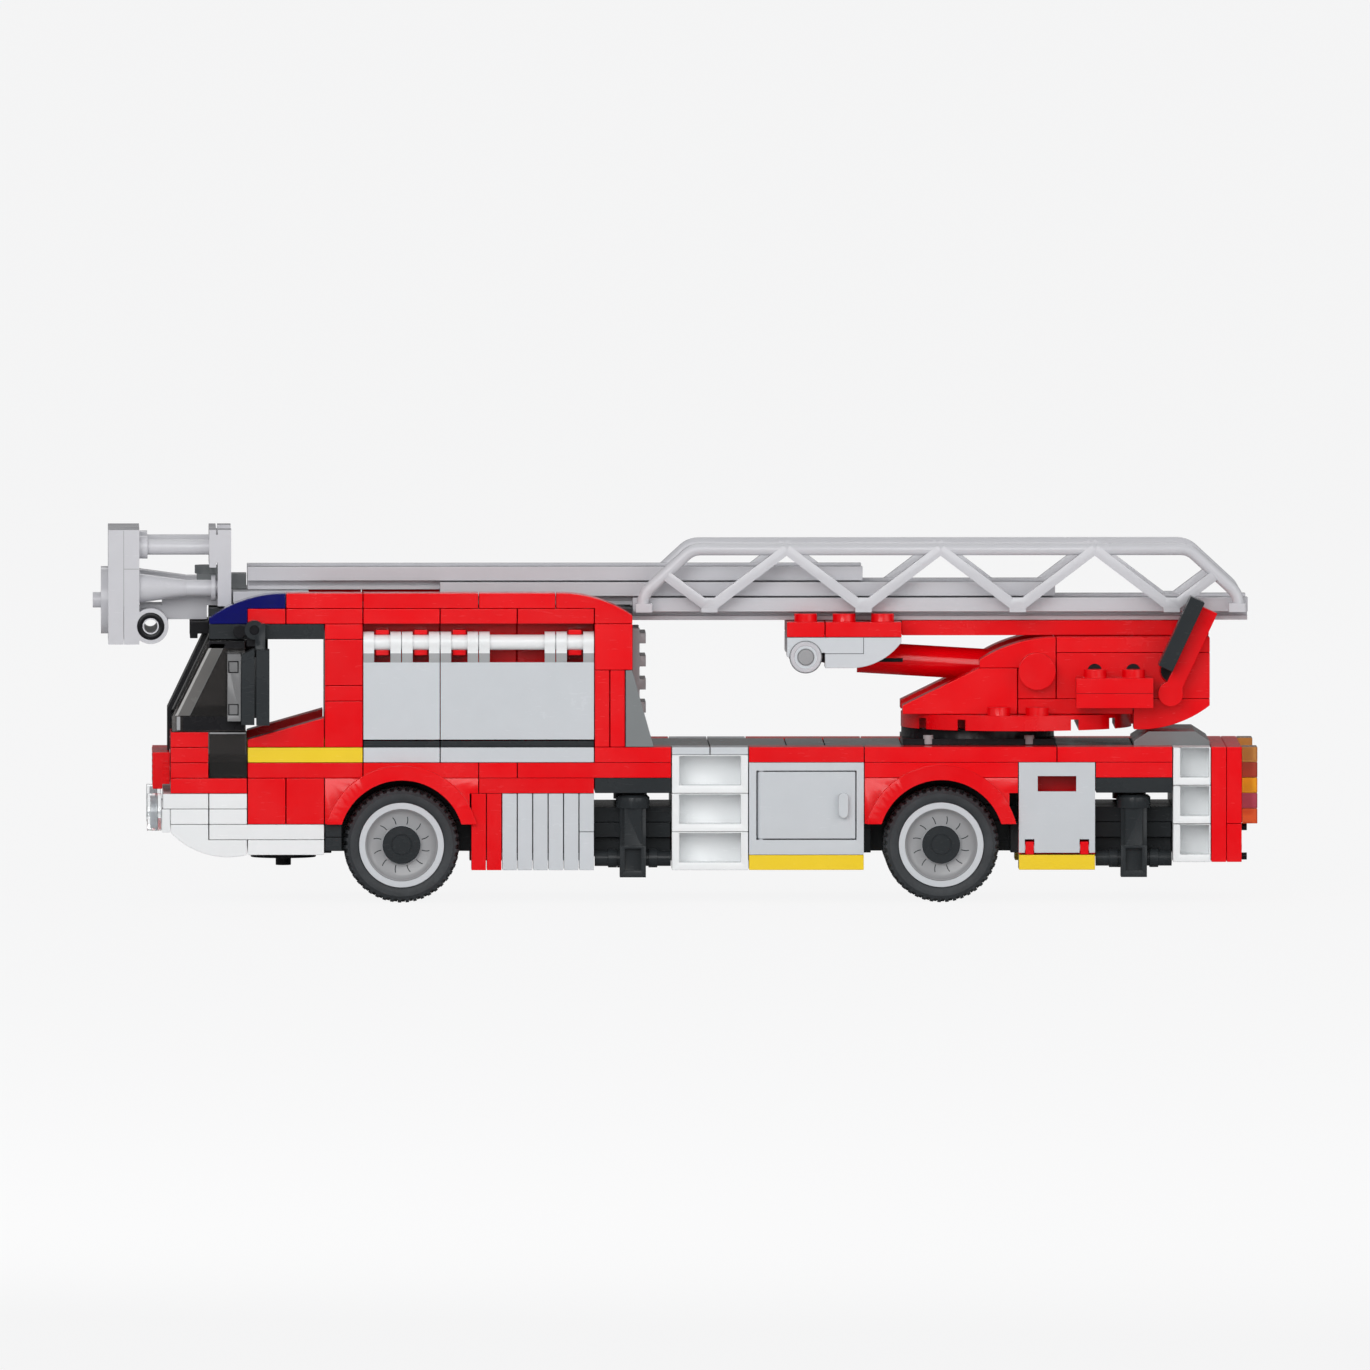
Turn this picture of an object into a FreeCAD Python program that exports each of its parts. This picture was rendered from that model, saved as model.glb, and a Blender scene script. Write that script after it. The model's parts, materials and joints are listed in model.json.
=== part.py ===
# Ladder fire engine built up from interlocking toy bricks.
# Millimetres. +X runs towards the tail, +Y to the engine's right-hand side, +Z up; the tyres stand on z = 0.
# Places along the engine are counted in studs behind the cab's front line, heights in plate layers
# above the underside of the lowest bricks, and places across in studs from the centre plane.
import FreeCAD, Part
import math
import os
import Sketcher

Vector = FreeCAD.Vector

doc = FreeCAD.newDocument("ladder_engine")
sheet = doc.addObject("Spreadsheet::Sheet", "Sizes")

# alias, value, meaning
SIZES = (
    ("stud", 8.0, "pitch of the stud grid"),
    ("plate", 3.2, "height of one plate layer"),
    ("seam", 0.1, "half of the gap between neighbouring bricks"),
    ("bed", 0.05, "half of the gap between stacked bricks"),
    ("floor_height", 6.8, "underside of the lowest bricks above the ground"),
    ("half_width", 3.0, "studs from the centre plane to the bodywork's side"),
    ("body_studs", 27.0, "studs from the cab front line to the tail plates"),
    ("front_axle", 6.0, "studs from the cab front line to the front axle"),
    ("rear_axle", 20.0, "studs from the cab front line to the rear axle"),
    ("knob_diameter", 4.8, "diameter of a stud"),
    ("knob_rise", 1.7, "height of a stud"),
    ("bar_diameter", 3.2, "diameter of every round bar"),
    ("running_gap", 0.05, "radial clearance of a turning fit"),
    ("wheel_diameter", 24.0, "outer diameter of a tyre"),
    ("tyre_width", 13.6, "width of a tyre"),
    ("tyre_inset", 1.2, "tyre face inboard of the bodywork's side"),
    ("tyre_shoulder", 1.4, "bevel at a tyre's shoulder"),
    ("rim_diameter", 17.6, "outer diameter of a rim"),
    ("rim_ring", 1.3, "width of a rim's bright outer ring"),
    ("rim_depth", 2.6, "depth of a rim's dish"),
    ("hub_diameter", 8.0, "diameter of a rim's hub"),
    ("axle_pin", 4.8, "diameter of the pin that carries a wheel"),
    ("arch_radius", 13.0, "inner radius of a wheel arch"),
    ("flare_width", 3.0, "radial width of a wheel arch's flare"),
    ("flare_stand", 1.8, "flare proud of the bodywork's side"),
    ("arch_rise", 0.6, "centre of an arch above its axle"),
    ("slew_axis", 21.0, "studs from the cab front line to the turntable's axis"),
    ("turret_radius", 3.0, "studs from the centre to the rim of the turret plate"),
    ("slew_pin", 9.0, "diameter of the pin in the turntable"),
    ("lift_axis", 26.0, "studs from the cab front line to the boom's pivot"),
    ("lift_height", 47.8, "height of the boom's and the lift cylinder's pivots"),
    ("ram_axis", 22.5, "studs from the cab front line to the lift cylinder's pivot"),
    ("eye_axis", 16.5, "studs from the cab front line to the rod's eye"),
    ("eye_height", 50.7, "height of the rod's eye"),
    ("ram_diameter", 6.5, "outer diameter of the lift cylinder"),
    ("ram_length", 37.0, "lift cylinder from its pivot to its mouth"),
    ("housing_gap", 8.2, "inner face of the turret walls from the centre plane"),
    ("section_length", 16.0, "length of a ladder section in studs"),
    ("section_height", 4.8, "height of a ladder section"),
    ("section_step", 5.0, "studs that each section reaches ahead of the one below"),
    ("base_front", 12.0, "studs from the cab front line to the base section"),
    ("foot_half", 7.8, "half width of a section's sliding foot"),
    ("foot_rise", 0.9, "thickness of the foot"),
    ("neck_half", 6.8, "half width of the neck above the foot"),
    ("rail_start", 1.9, "underside of a section's rails above its foot"),
    ("tread_gap", 0.1, "clearance between a section's rungs and the foot that slides on them"),
    ("lip_rise", 0.6, "thickness of the lips that hold the next section"),
    ("slide_gap", 0.25, "side clearance of a sliding foot"),
    ("fly_half", 9.5, "half width of the top section"),
    ("middle_half", 10.5, "half width of the middle section"),
    ("base_half", 11.5, "half width of the base section"),
    ("truss_half", 15.9, "outer face of the truss sides from the centre plane"),
    ("truss_depth", 2.6, "thickness of a truss side"),
    ("cage_reach", 1.6, "studs from the cab front line forward to the cage's front face"),
    ("cage_axis", -0.5, "studs from the cab front line to the cage's pivot"),
    ("cage_height", 57.2, "height of the cage's pivot"),
    ("dish_thickness", 1.5, "thickness of a round dish"),
    ("panel_thickness", 1.6, "thickness of a door or flap"),
    ("door_gap", 0.25, "gap round a door"),
    ("leg_axis_height", 9.1, "height of the bars that carry the stabilizers"),
)
for row, (alias, value, meaning) in enumerate(SIZES, start=1):
    sheet.set(f"A{row}", meaning)
    sheet.set(f"B{row}", str(value))
    sheet.setAlias(f"B{row}", alias)
doc.recompute()


def size(alias):
    """A size read from the sheet."""
    return float(sheet.get(alias))


STUD = size("stud")
PLATE = size("plate")
SEAM = size("seam")
BED = size("bed")
BAR_RADIUS = size("bar_diameter") / 2
GAP = size("running_gap")

# The origin is midway between the cage's front stub and the tail lamps.
CAB_FRONT = ("(Sizes.cage_reach * Sizes.stud + Sizes.dish_thickness + Sizes.knob_rise"
             " - Sizes.body_studs * Sizes.stud - 3 * Sizes.plate) / 2")
cab_front = (size("cage_reach") * STUD + size("dish_thickness") + size("knob_rise")
             - size("body_studs") * STUD - 3 * PLATE) / 2
SIDES = (("left", -1), ("right", 1))


def along(studs):
    """Place along the engine, in millimetres."""
    return cab_front + studs * STUD


def layer(count):
    """Height of a plate layer's underside."""
    return size("floor_height") + count * PLATE


def bind(item, bindings):
    """Tie an object's properties to the sheet."""
    for name, text in bindings.items():
        item.setExpression(name, text)


nodes = []


def node(item, label):
    """Enter a finished sub-part under the name of its file."""
    item.Label = label
    nodes.append(item)
    return item


def group(label, pieces):
    """A node of several separate pieces."""
    item = doc.addObject("Part::Compound", label)
    item.Links = pieces
    return node(item, label)


def fused(name, pieces):
    """Pieces that are moulded as one."""
    item = doc.addObject("Part::MultiFuse", name)
    item.Shapes = pieces
    return item


def cut(name, base, tool):
    """Base with the tool's shape taken away."""
    item = doc.addObject("Part::Cut", name)
    item.Base = base
    item.Tool = tool
    return item


def across(studs):
    """A place across the body in studs; three studs out is the bodywork's side."""
    if abs(studs) < 3:
        return f"({studs:g})"
    return "Sizes.half_width" if studs > 0 else "(-Sizes.half_width)"


def brick(front, rear, bottom, top, inner, outer):
    """A brick between places on the stud grid, with its seams taken off."""
    item = doc.addObject("Part::Box", "brick")
    bind(item, {
        "Length": f"{rear - front:g} * Sizes.stud - 2 * Sizes.seam",
        "Width": f"({across(outer)} - {across(inner)}) * Sizes.stud - 2 * Sizes.seam",
        "Height": f"{top - bottom:g} * Sizes.plate - 2 * Sizes.bed",
        "Placement.Base.x": f"{CAB_FRONT} + {front:g} * Sizes.stud + Sizes.seam",
        "Placement.Base.y": f"{across(inner)} * Sizes.stud + Sizes.seam",
        "Placement.Base.z": f"Sizes.floor_height + {bottom:g} * Sizes.plate + Sizes.bed",
    })
    return item


def bricks(rows):
    """Bricks from a table; a row that starts off the centre plane is laid on both sides."""
    pieces = []
    for front, rear, bottom, top, inner, outer in rows:
        if inner < 0:
            pieces.append(brick(front, rear, bottom, top, inner, outer))
        else:
            pieces.append(brick(front, rear, bottom, top, inner, outer))
            pieces.append(brick(front, rear, bottom, top, -outer, -inner))
    return pieces


def shaped(name, shape):
    """A piece whose shape is worked out below from the sheet's sizes."""
    item = doc.addObject("Part::Feature", name)
    item.Shape = shape
    return item


def box(low, high):
    """A plain block between two corners."""
    span = Vector(*high) - Vector(*low)
    return Part.makeBox(span.x, span.y, span.z, Vector(*low))


def rod(radius, start, end):
    """A round bar between two points."""
    run = Vector(*end) - Vector(*start)
    return Part.makeCylinder(radius, run.Length, Vector(*start), run)


def profile_face(corners, across=0.0):
    """Face in side view. A corner is (along, up) or (along, up, bulge): bulge bows the edge that ends there."""
    points = [Vector(corner[0], across, corner[1]) for corner in corners]
    edges = []
    for index, corner in enumerate(corners):
        start = points[index - 1]
        end = points[index]
        if len(corner) == 3:
            chord = end - start
            normal = Vector(-chord.z, 0, chord.x).normalize()
            middle = (start + end) * 0.5 + normal * corner[2]
            edges.append(Part.Arc(start, middle, end).toShape())
        else:
            edges.append(Part.LineSegment(start, end).toShape())
    return Part.Face(Part.Wire(edges))


def prism(corners, low, high):
    """A side view carried from one place across to another."""
    return profile_face(corners, low).extrude(Vector(0, high - low, 0))


def reach(side, inner, outer):
    """The low and high place across of a piece on one side."""
    return (inner, outer) if side > 0 else (-outer, -inner)


def fuse_all(shapes):
    """One solid from overlapping ones."""
    whole = shapes[0].multiFuse(shapes[1:])
    return whole.removeSplitter()


def knob(studs, height, across):
    """A stud on top of a brick."""
    foot = Vector(along(studs), across, height - BED)
    return Part.makeCylinder(size("knob_diameter") / 2, size("knob_rise") + BED, foot)


SIDE = size("half_width") * STUD
FACE = SIDE - SEAM
CORE = 2 * STUD - SEAM
INNER_FACE = 2 * STUD + SEAM

# ---------------------------------------------------------------- chassis
AXLES = (("front", "front_axle"), ("rear", "rear_axle"))

# front, rear, bottom, top, inner, outer: studs, layers, studs
CHASSIS_ROWS = (
    (2, 5, 1, 3, -1, 1),
    (7, 19, 1, 3, -1, 1),
    (21, 27, 1, 3, -1, 1),
    (2, 4.2, 1, 3, 1, 2),
    (7.8, 11, 1, 3, 1, 2),
    (11, 13, 1, 2, 1, 1.8),
    (11, 13, 2, 3, 1, 2),
    (13, 18.2, 1, 3, 1, 2),
    (21.8, 24, 1, 3, 1, 2),
    (24, 26, 1, 2, 1, 1.8),
    (24, 26, 2, 3, 1, 2),
    (26, 27, 1, 3, 1, 2),
    (1, 4, 3, 4, -2, 2),
    (4, 8, 3, 4, -1, 1),
    (8, 18, 3, 4, -2, 2),
    (18, 22, 3, 4, -1, 1),
    (22, 27, 3, 4, -2, 2),
    (1, 4, 4, 6, -2, 2),
    (4, 8, 4, 6, -1, 1),
    (8, 11, 4, 6, -2, 2),
    (13, 18, 4, 6, -2, 2),
    (18, 22, 4, 6, -1, 1),
    (22, 24, 4, 6, -2, 2),
    (26, 27, 4, 6, -2, 2),
    (11, 13, 5, 6, -3, 3),
    (24, 26, 5, 6, -3, 3),
    (1, 5, 6, 7, -2, 2),
    (5, 12.4, 6, 7, -2, 2),
    (12.4, 27, 6, 7, -2, 2),
)
dish_foot = layer(1) - size("dish_thickness")
dish_radius = 0.85 * STUD
dish = fuse_all([
    Part.makeCylinder(dish_radius, size("dish_thickness") - BED, Vector(along(2.95), 0, dish_foot)),
    Part.makeCylinder(BAR_RADIUS, size("knob_rise") + BED, Vector(along(2.95), 0, dish_foot - size("knob_rise"))),
])
frame_pieces = bricks(CHASSIS_ROWS) + [shaped("underbody_dish", dish)]
sill_rise = 1.3
for side_name, side in SIDES:
    for front, rear in ((5, 7), (7, 11)):
        low, high = reach(side, INNER_FACE, FACE - 0.1)
        sill = box((along(front) + SEAM, low, layer(8) + BED), (along(rear) - SEAM, high, layer(8) + sill_rise))
        frame_pieces.append(shaped(f"locker_sill_{side_name}", sill))
group("chassis_frame", frame_pieces)

# ---------------------------------------------------------------- axles and wheels
axle_height = size("wheel_diameter") / 2
wheel_centre = SIDE - size("tyre_inset") - size("tyre_width") / 2
pin_end = wheel_centre + size("tyre_width") / 2 - size("rim_depth")
axle_pieces = []
for end_name, axle in AXLES:
    middle = size(axle)
    block = brick(middle - 1, middle + 1, 1, 3, -1, 1)
    pin = doc.addObject("Part::Cylinder", f"axle_pin_{end_name}")
    bind(pin, {
        "Radius": "Sizes.axle_pin / 2",
        "Height": "2 * (Sizes.half_width * Sizes.stud - Sizes.tyre_inset - Sizes.rim_depth) + 2 * Sizes.running_gap",
        "Placement.Base.x": f"{CAB_FRONT} + Sizes.{axle} * Sizes.stud",
        "Placement.Base.y": "Sizes.half_width * Sizes.stud - Sizes.tyre_inset - Sizes.rim_depth"
                            " + Sizes.running_gap",
        "Placement.Base.z": "Sizes.wheel_diameter / 2",
    })
    pin.Placement.Rotation = FreeCAD.Rotation(Vector(1, 0, 0), 90)
    axle_pieces.append(fused(f"axle_{end_name}", [block, pin]))
group("axles", axle_pieces)


def plane_of(body, role):
    """One of a body's own origin planes."""
    for feature in body.Origin.OriginFeatures:
        if feature.Role == role:
            return feature


def bound_sketch(body, name, role, corners):
    """A closed outline whose corners are tied to the sheet. Each corner is a pair of expressions."""
    sketch = body.newObject("Sketcher::SketchObject", name)
    sketch.AttachmentSupport = [(plane_of(body, role), "")]
    sketch.MapMode = "FlatFace"
    places = [(float(sheet.evalExpression(x)), float(sheet.evalExpression(y))) for x, y in corners]
    for index, (x, y) in enumerate(places):
        x_next, y_next = places[(index + 1) % len(places)]
        sketch.addGeometry(Part.LineSegment(Vector(x, y, 0), Vector(x_next, y_next, 0)), False)
    for index in range(len(places)):
        sketch.addConstraint(Sketcher.Constraint("Coincident", index, 2, (index + 1) % len(places), 1))
    for index, (x_text, y_text) in enumerate(corners):
        for kind, text, value in (("DistanceX", x_text, places[index][0]), ("DistanceY", y_text, places[index][1])):
            number = sketch.addConstraint(Sketcher.Constraint(kind, -1, 1, index, 1, value))
            sketch.setExpression(f"Constraints[{number}]", text)
    return sketch


def turned_body(name, corners, axle, side):
    """A body turned about its own Y axis from half a section, then set on its axle."""
    body = doc.addObject("PartDesign::Body", name)
    sketch = bound_sketch(body, f"{name}_section", "YZ_Plane", corners)
    turning = body.newObject("PartDesign::Revolution", f"{name}_turning")
    turning.Profile = sketch
    turning.ReferenceAxis = (sketch, ["H_Axis"])
    turning.Angle = 360
    bind(body, {
        "Placement.Base.x": f"{CAB_FRONT} + Sizes.{axle} * Sizes.stud",
        "Placement.Base.y": f"{side} * (Sizes.half_width * Sizes.stud - Sizes.tyre_inset - Sizes.tyre_width / 2)",
        "Placement.Base.z": "Sizes.wheel_diameter / 2",
    })
    return body


# The reference axis of a sketch is taken as Sizes.* texts: (across, radius).
TYRE_SECTION = (
    ("-Sizes.tyre_width / 2", "Sizes.rim_diameter / 2 + Sizes.running_gap"),
    ("Sizes.tyre_width / 2", "Sizes.rim_diameter / 2 + Sizes.running_gap"),
    ("Sizes.tyre_width / 2", "Sizes.wheel_diameter / 2 - Sizes.tyre_shoulder / 2"),
    ("Sizes.tyre_width / 2 - Sizes.tyre_shoulder", "Sizes.wheel_diameter / 2"),
    ("-Sizes.tyre_width / 2 + Sizes.tyre_shoulder", "Sizes.wheel_diameter / 2"),
    ("-Sizes.tyre_width / 2", "Sizes.wheel_diameter / 2 - Sizes.tyre_shoulder / 2"),
)
RIM_FACE = "Sizes.tyre_width / 2"
BORE = "Sizes.axle_pin / 2 + Sizes.running_gap"


def rim_section(side):
    """Half a rim's section; the dish opens towards the outside."""
    face = f"{side} * {RIM_FACE}"
    dish_floor = f"{side} * ({RIM_FACE} - Sizes.rim_depth)"
    hub_face = f"{side} * ({RIM_FACE} - Sizes.rim_depth / 2)"
    back = f"-{side} * {RIM_FACE}" if side > 0 else RIM_FACE
    back_floor = f"{-side} * ({RIM_FACE} - 2 * Sizes.rim_depth)"
    ring = "Sizes.rim_diameter / 2 - Sizes.rim_ring"
    hub = "Sizes.hub_diameter / 2"
    return (
        (hub_face, BORE),
        (hub_face, hub),
        (dish_floor, hub),
        (dish_floor, ring),
        (face, ring),
        (face, "Sizes.rim_diameter / 2"),
        (back, "Sizes.rim_diameter / 2"),
        (back, ring),
        (back_floor, ring),
        (back_floor, BORE),
    )


for end_name, axle in AXLES:
    for side_name, side in SIDES:
        place = f"{end_name}_{side_name}"
        node(turned_body(f"tyre_{place}", TYRE_SECTION, axle, side), f"tyre_{place}")
        node(turned_body(f"rim_{place}", rim_section(side), axle, side), f"rim_{place}")

# ---------------------------------------------------------------- wheel arches
arch_height = axle_height + size("arch_rise")
arch_inner = size("arch_radius")
flare_outer = arch_inner + size("flare_width")
arch_wall = 1.2
arch_pieces = []
for end_name, axle in AXLES:
    for side_name, side in SIDES:
        middle = along(size(axle))
        low, high = reach(side, STUD + SEAM, FACE)
        front = along(size(axle) - 2) + SEAM
        rear = along(size(axle) + 2) - SEAM
        trim = 0.22 * STUD
        outline = [
            (front, layer(3) + BED), (rear - trim, layer(3) + BED), (rear - trim, layer(5)),
            (rear, layer(5)), (rear, layer(6) - BED), (front, layer(6) - BED),
        ]
        panel_low, panel_high = reach(side, FACE - arch_wall, FACE)
        panel = prism(outline, panel_low, panel_high)
        shell = rod(arch_inner + arch_wall, (middle, low, arch_height), (middle, high, arch_height))
        roof = box((front, low, layer(5) + BED), (rear, high, layer(6) - BED))
        flare_low, flare_high = reach(side, FACE - arch_wall, SIDE + size("flare_stand"))
        flare = rod(flare_outer, (middle, flare_low, arch_height), (middle, flare_high, arch_height))
        hollow = rod(arch_inner, (middle, low - 1, arch_height), (middle, high + 1, arch_height))
        hollow_out = rod(arch_inner, (middle, flare_low - 3, arch_height), (middle, flare_high + 3, arch_height))
        above = box((middle - 3 * STUD, -2 * SIDE, layer(3) + BED), (middle + 3 * STUD, 2 * SIDE, layer(12)))
        below_roof = box((middle - 3 * STUD, -2 * SIDE, 0), (middle + 3 * STUD, 2 * SIDE, layer(6) - BED))
        proud_low, proud_high = reach(side, FACE, SIDE + size("flare_stand"))
        proud = box((middle - 3 * STUD, proud_low, 0), (middle + 3 * STUD, proud_high, layer(12)))
        body_part = panel.multiFuse([shell, roof]).common(below_roof)
        whole = body_part.fuse(flare.common(proud)).common(above)
        whole = whole.cut(hollow).cut(hollow_out).removeSplitter()
        arch_pieces.append(shaped(f"arch_{end_name}_{side_name}", whole))
group("wheel_arches", arch_pieces)

# ---------------------------------------------------------------- front end
nose_foot = 14.7
nose = prism([
    (along(0) + SEAM, nose_foot),
    (along(2) - SEAM, layer(1) + BED, -2.2),
    (along(2) - SEAM, layer(2) - BED),
    (along(1) - SEAM, layer(2) - BED),
    (along(1) - SEAM, layer(3) - BED),
    (along(0) + SEAM, layer(3) - BED),
], -FACE, FACE)
BUMPER_ROWS = (
    (-0.2, 1, 4, 5, -3, 3),
    (1, 2, 4, 5, 2, 3),
    (0, 1, 3, 4, -3, 3),
    (1, 2, 3, 4, 2, 3),
    (1, 4, 2, 3, 2, 3),
    (2, 4, 1, 2, 2, 3),
)
lamp_front = along(-0.6)
lamp_rear = along(-0.22)
lamp_height = 18.8
lamp_across = 2.45 * STUD
bumper_pieces = bricks(BUMPER_ROWS) + [shaped("nose", nose)]
lamp_pieces = []
for side_name, side in SIDES:
    low, high = reach(side, 1.9 * STUD, FACE)
    bracket = box((lamp_rear + BED, low, nose_foot + BED), (along(0) - BED, high, layer(4) - BED))
    bumper_pieces.append(shaped(f"lamp_bracket_{side_name}", bracket))
    lamp = rod(STUD / 2 - SEAM, (lamp_front, side * lamp_across, lamp_height),
               (lamp_rear - BED, side * lamp_across, lamp_height))
    lamp_pieces.append(shaped(f"headlight_{side_name}", lamp))
group("front_bumper", bumper_pieces)
group("headlights", lamp_pieces)

# ---------------------------------------------------------------- cab
CAB_ROWS = (
    (0, 2, 5, 6, 2, 3),
    (0, 1, 5, 6, -2, 2),
    (0, 1, 6, 7, -3, 3),
    (0, 1, 7, 8, -3, 3),
    (0, 1, 8, 9, -3, 3),
    (2, 3, 3, 6, 2, 3),
    (3, 4, 3, 6, 2, 3),
    (2, 5, 6, 7, 2, 3),
    (4, 5, 8, 11, 2, 3),
    (4, 5, 11, 12, 2, 3),
    (4, 5, 12, 15, 2, 3),
    (4, 5, 15, 16, 2, 3),
    (4, 5, 7, 10, -2, 2),
    (4, 5, 10, 13, -2, 2),
    (4, 5, 13, 16, -2, 2),
)
grille_head = 31.0
grille = fuse_all([
    box((along(-0.45), -CORE, 23.4), (along(-0.2), CORE, grille_head)),
    box((along(-0.3), -CORE, 24.4), (along(0) - BED, CORE, grille_head)),
])
cab_pieces = bricks(CAB_ROWS) + [shaped("grille", grille)]
sill_foot = 1.6
sill_head = 6.1
for side_name, side in SIDES:
    sill = prism([
        (along(2) + SEAM, layer(8) + BED), (along(4) - SEAM, layer(8) + BED),
        (along(4) - SEAM, layer(8) + sill_head), (along(2) + SEAM, layer(8) + sill_foot),
    ], *reach(side, INNER_FACE, FACE))
    cab_pieces.append(shaped(f"window_sill_{side_name}", sill))
group("cab_bricks", cab_pieces)

glass = 1.3
screen_top = 54.6
screen_outer = prism([
    (along(0.04), layer(9) + BED), (along(1.94), layer(9) + BED),
    (along(1.94), screen_top), (along(1.0), screen_top), (along(0.04), layer(10)),
], -FACE, FACE)
screen_inner = prism([
    (along(0.04) + glass, layer(8)), (along(2.2), layer(8)),
    (along(2.2), screen_top - glass), (along(1.0) + 0.6 * glass, screen_top - glass),
    (along(0.04) + glass, layer(10) - 0.3 * glass),
], -FACE + glass, FACE - glass)
windscreen = shaped("cab_screen", screen_outer.cut(screen_inner))
group("windscreen", bricks(((1, 2, 6, 9, 2, 3),)) + [windscreen])

# The black strip down the middle of the screen, the header and its clips.
strip = prism([
    (along(0.04) - BED, layer(7.6)), (along(0.04) - BED, layer(10) + 0.6), (along(1.0) - BED, screen_top + 0.5),
    (along(0.86), screen_top + 0.5), (along(-0.07), layer(10) + 0.8), (along(-0.07), layer(7.6)),
], -STUD + SEAM, STUD - SEAM)
strip = strip.cut(box((along(0) - 0.02, -SIDE, 0), (along(0.5), SIDE, layer(9) + BED)))
HEADER_ROWS = (
    (1, 2, 15, 16, -3, 3),
    (2, 4, 15, 16, 2, 3),
)
clip_pieces = [shaped("screen_strip", strip)]
for side_name, side in SIDES:
    low, high = reach(side, 0.6 * STUD, 1.4 * STUD)
    clip = fuse_all([
        box((along(0.52), low, layer(15.2)), (along(1), high, layer(16) - BED)),
        box((along(0.52), low, layer(14.9)), (along(0.72), high, layer(16) - BED)),
    ])
    clip_pieces.append(shaped(f"screen_clip_{side_name}", clip))
group("cab_header", bricks(HEADER_ROWS) + clip_pieces)

mirror_pieces = []
mirror_leaves = ((1.48, 1.82, 38.2, 52.1, 52.1), (1.84, 2.18, 37.4, 51.9, 53.2), (2.23, 2.57, 37.3, 52.9, 52.9))
mirror_ring = (along(2.18), 56.9)
for side_name, side in SIDES:
    low, high = reach(side, SIDE + SEAM, SIDE + STUD - SEAM)
    parts = []
    for front, rear, foot, front_head, rear_head in mirror_leaves:
        parts.append(prism([
            (along(front), foot), (along(rear), foot), (along(rear), rear_head), (along(front), front_head),
        ], low, high))
    parts.append(box((along(1.6), low + 1, 38.8), (along(2.5), high - 1, 51.4)))
    arm_low, arm_high = reach(side, SIDE + SEAM, SIDE + 0.4 * STUD)
    parts.append(box((along(2.2), arm_low, 52), (along(2.46), arm_high, mirror_ring[1] + 1.3)))
    parts.append(rod(2.0, (mirror_ring[0], arm_low, mirror_ring[1]), (mirror_ring[0], arm_high, mirror_ring[1])))
    mirror = fuse_all(parts)
    hole = rod(1.0, (mirror_ring[0], arm_low - 1, mirror_ring[1]), (mirror_ring[0], arm_high + 1, mirror_ring[1]))
    mirror_pieces.append(shaped(f"mirror_{side_name}", mirror.cut(hole)))
group("mirrors", mirror_pieces)

STRIPE_ROWS = (
    (2, 5, 7, 8, 2, 3),
    (15, 18, 0, 1, 2, 3),
    (22, 24, 0, 1, 2, 3),
)
group("yellow_stripes", bricks(STRIPE_ROWS))

# ---------------------------------------------------------------- roof
ROOF_ROWS = (
    (3, 5, 16, 17, 2, 3),
    (5, 7, 16, 17, 2, 3),
    (7, 9, 16, 17, 2, 3),
    (9, 11, 16, 17, 2, 3),
    (3, 5, 17, 18, 2, 3),
    (5, 8, 17, 18, 2, 3),
    (8, 10, 17, 18, 2, 3),
)
slope_end = 59.7
rail_pieces = bricks(ROOF_ROWS)
beacon_pieces = []
beacon_start = 59.3
for side_name, side in SIDES:
    low, high = reach(side, INNER_FACE, FACE)
    tail = prism([
        (along(11), layer(17) + BED), (along(10) + SEAM, layer(17) + BED), (along(10) + SEAM, layer(18) - BED),
        (along(12) - SEAM, slope_end, 1.3), (along(12) - SEAM, layer(16) + BED),
        (along(11) + SEAM, layer(16) + BED), (along(11) + SEAM, layer(17) + BED),
    ], low, high)
    rail_pieces.append(shaped(f"roof_slope_{side_name}", tail))
    beacon = prism([
        (along(1) + SEAM, layer(16) + BED), (along(1) + SEAM, beacon_start),
        (along(3) - SEAM, layer(18) - BED, 1.3), (along(3) - SEAM, layer(17) + BED),
        (along(2), layer(17) + BED), (along(2), layer(16) + BED),
    ], low, high)
    beacon_pieces.append(shaped(f"beacon_{side_name}", beacon))
group("roof_rails", rail_pieces + bricks(((2, 3, 16, 17, 2, 3),)))
group("blue_beacons", beacon_pieces)
# The ladder lies on the roof deck, so its plates are a shade under full height.
DECK_ROWS = (
    (1, 5, 16, 16.92, -2, 2),
    (5, 9, 16, 16.92, -2, 2),
    (9, 12, 16, 16.92, -2, 2),
)
group("roof_deck", bricks(DECK_ROWS))

# ---------------------------------------------------------------- crew and equipment cabin
CABIN_ROWS = (
    (11, 12, 13, 16, 2, 3),
    (11, 11.4, 8, 13, 2, 3),
    (11.4, 11.8, 8, 13, 2, 3),
    (5, 7, 7, 16, 1.7, 2),
    (7, 9, 7, 16, 1.7, 2),
    (9, 11, 7, 16, 1.7, 2),
    (11, 12, 7, 10, -2, 2),
    (11, 12, 10, 13, -2, 2),
    (11, 12, 13, 16, -2, 2),
)

slope_pieces = []
for side_name, side in SIDES:
    slope = prism([
        (along(11.8) + SEAM, layer(8) + BED), (along(12.54), layer(8) + BED),
        (along(11.98), layer(13) - BED), (along(11.8) + SEAM, layer(13) - BED),
    ], *reach(side, INNER_FACE, FACE))
    slope_pieces.append(shaped(f"rear_slope_{side_name}", slope))
group("rear_slopes", slope_pieces)

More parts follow.
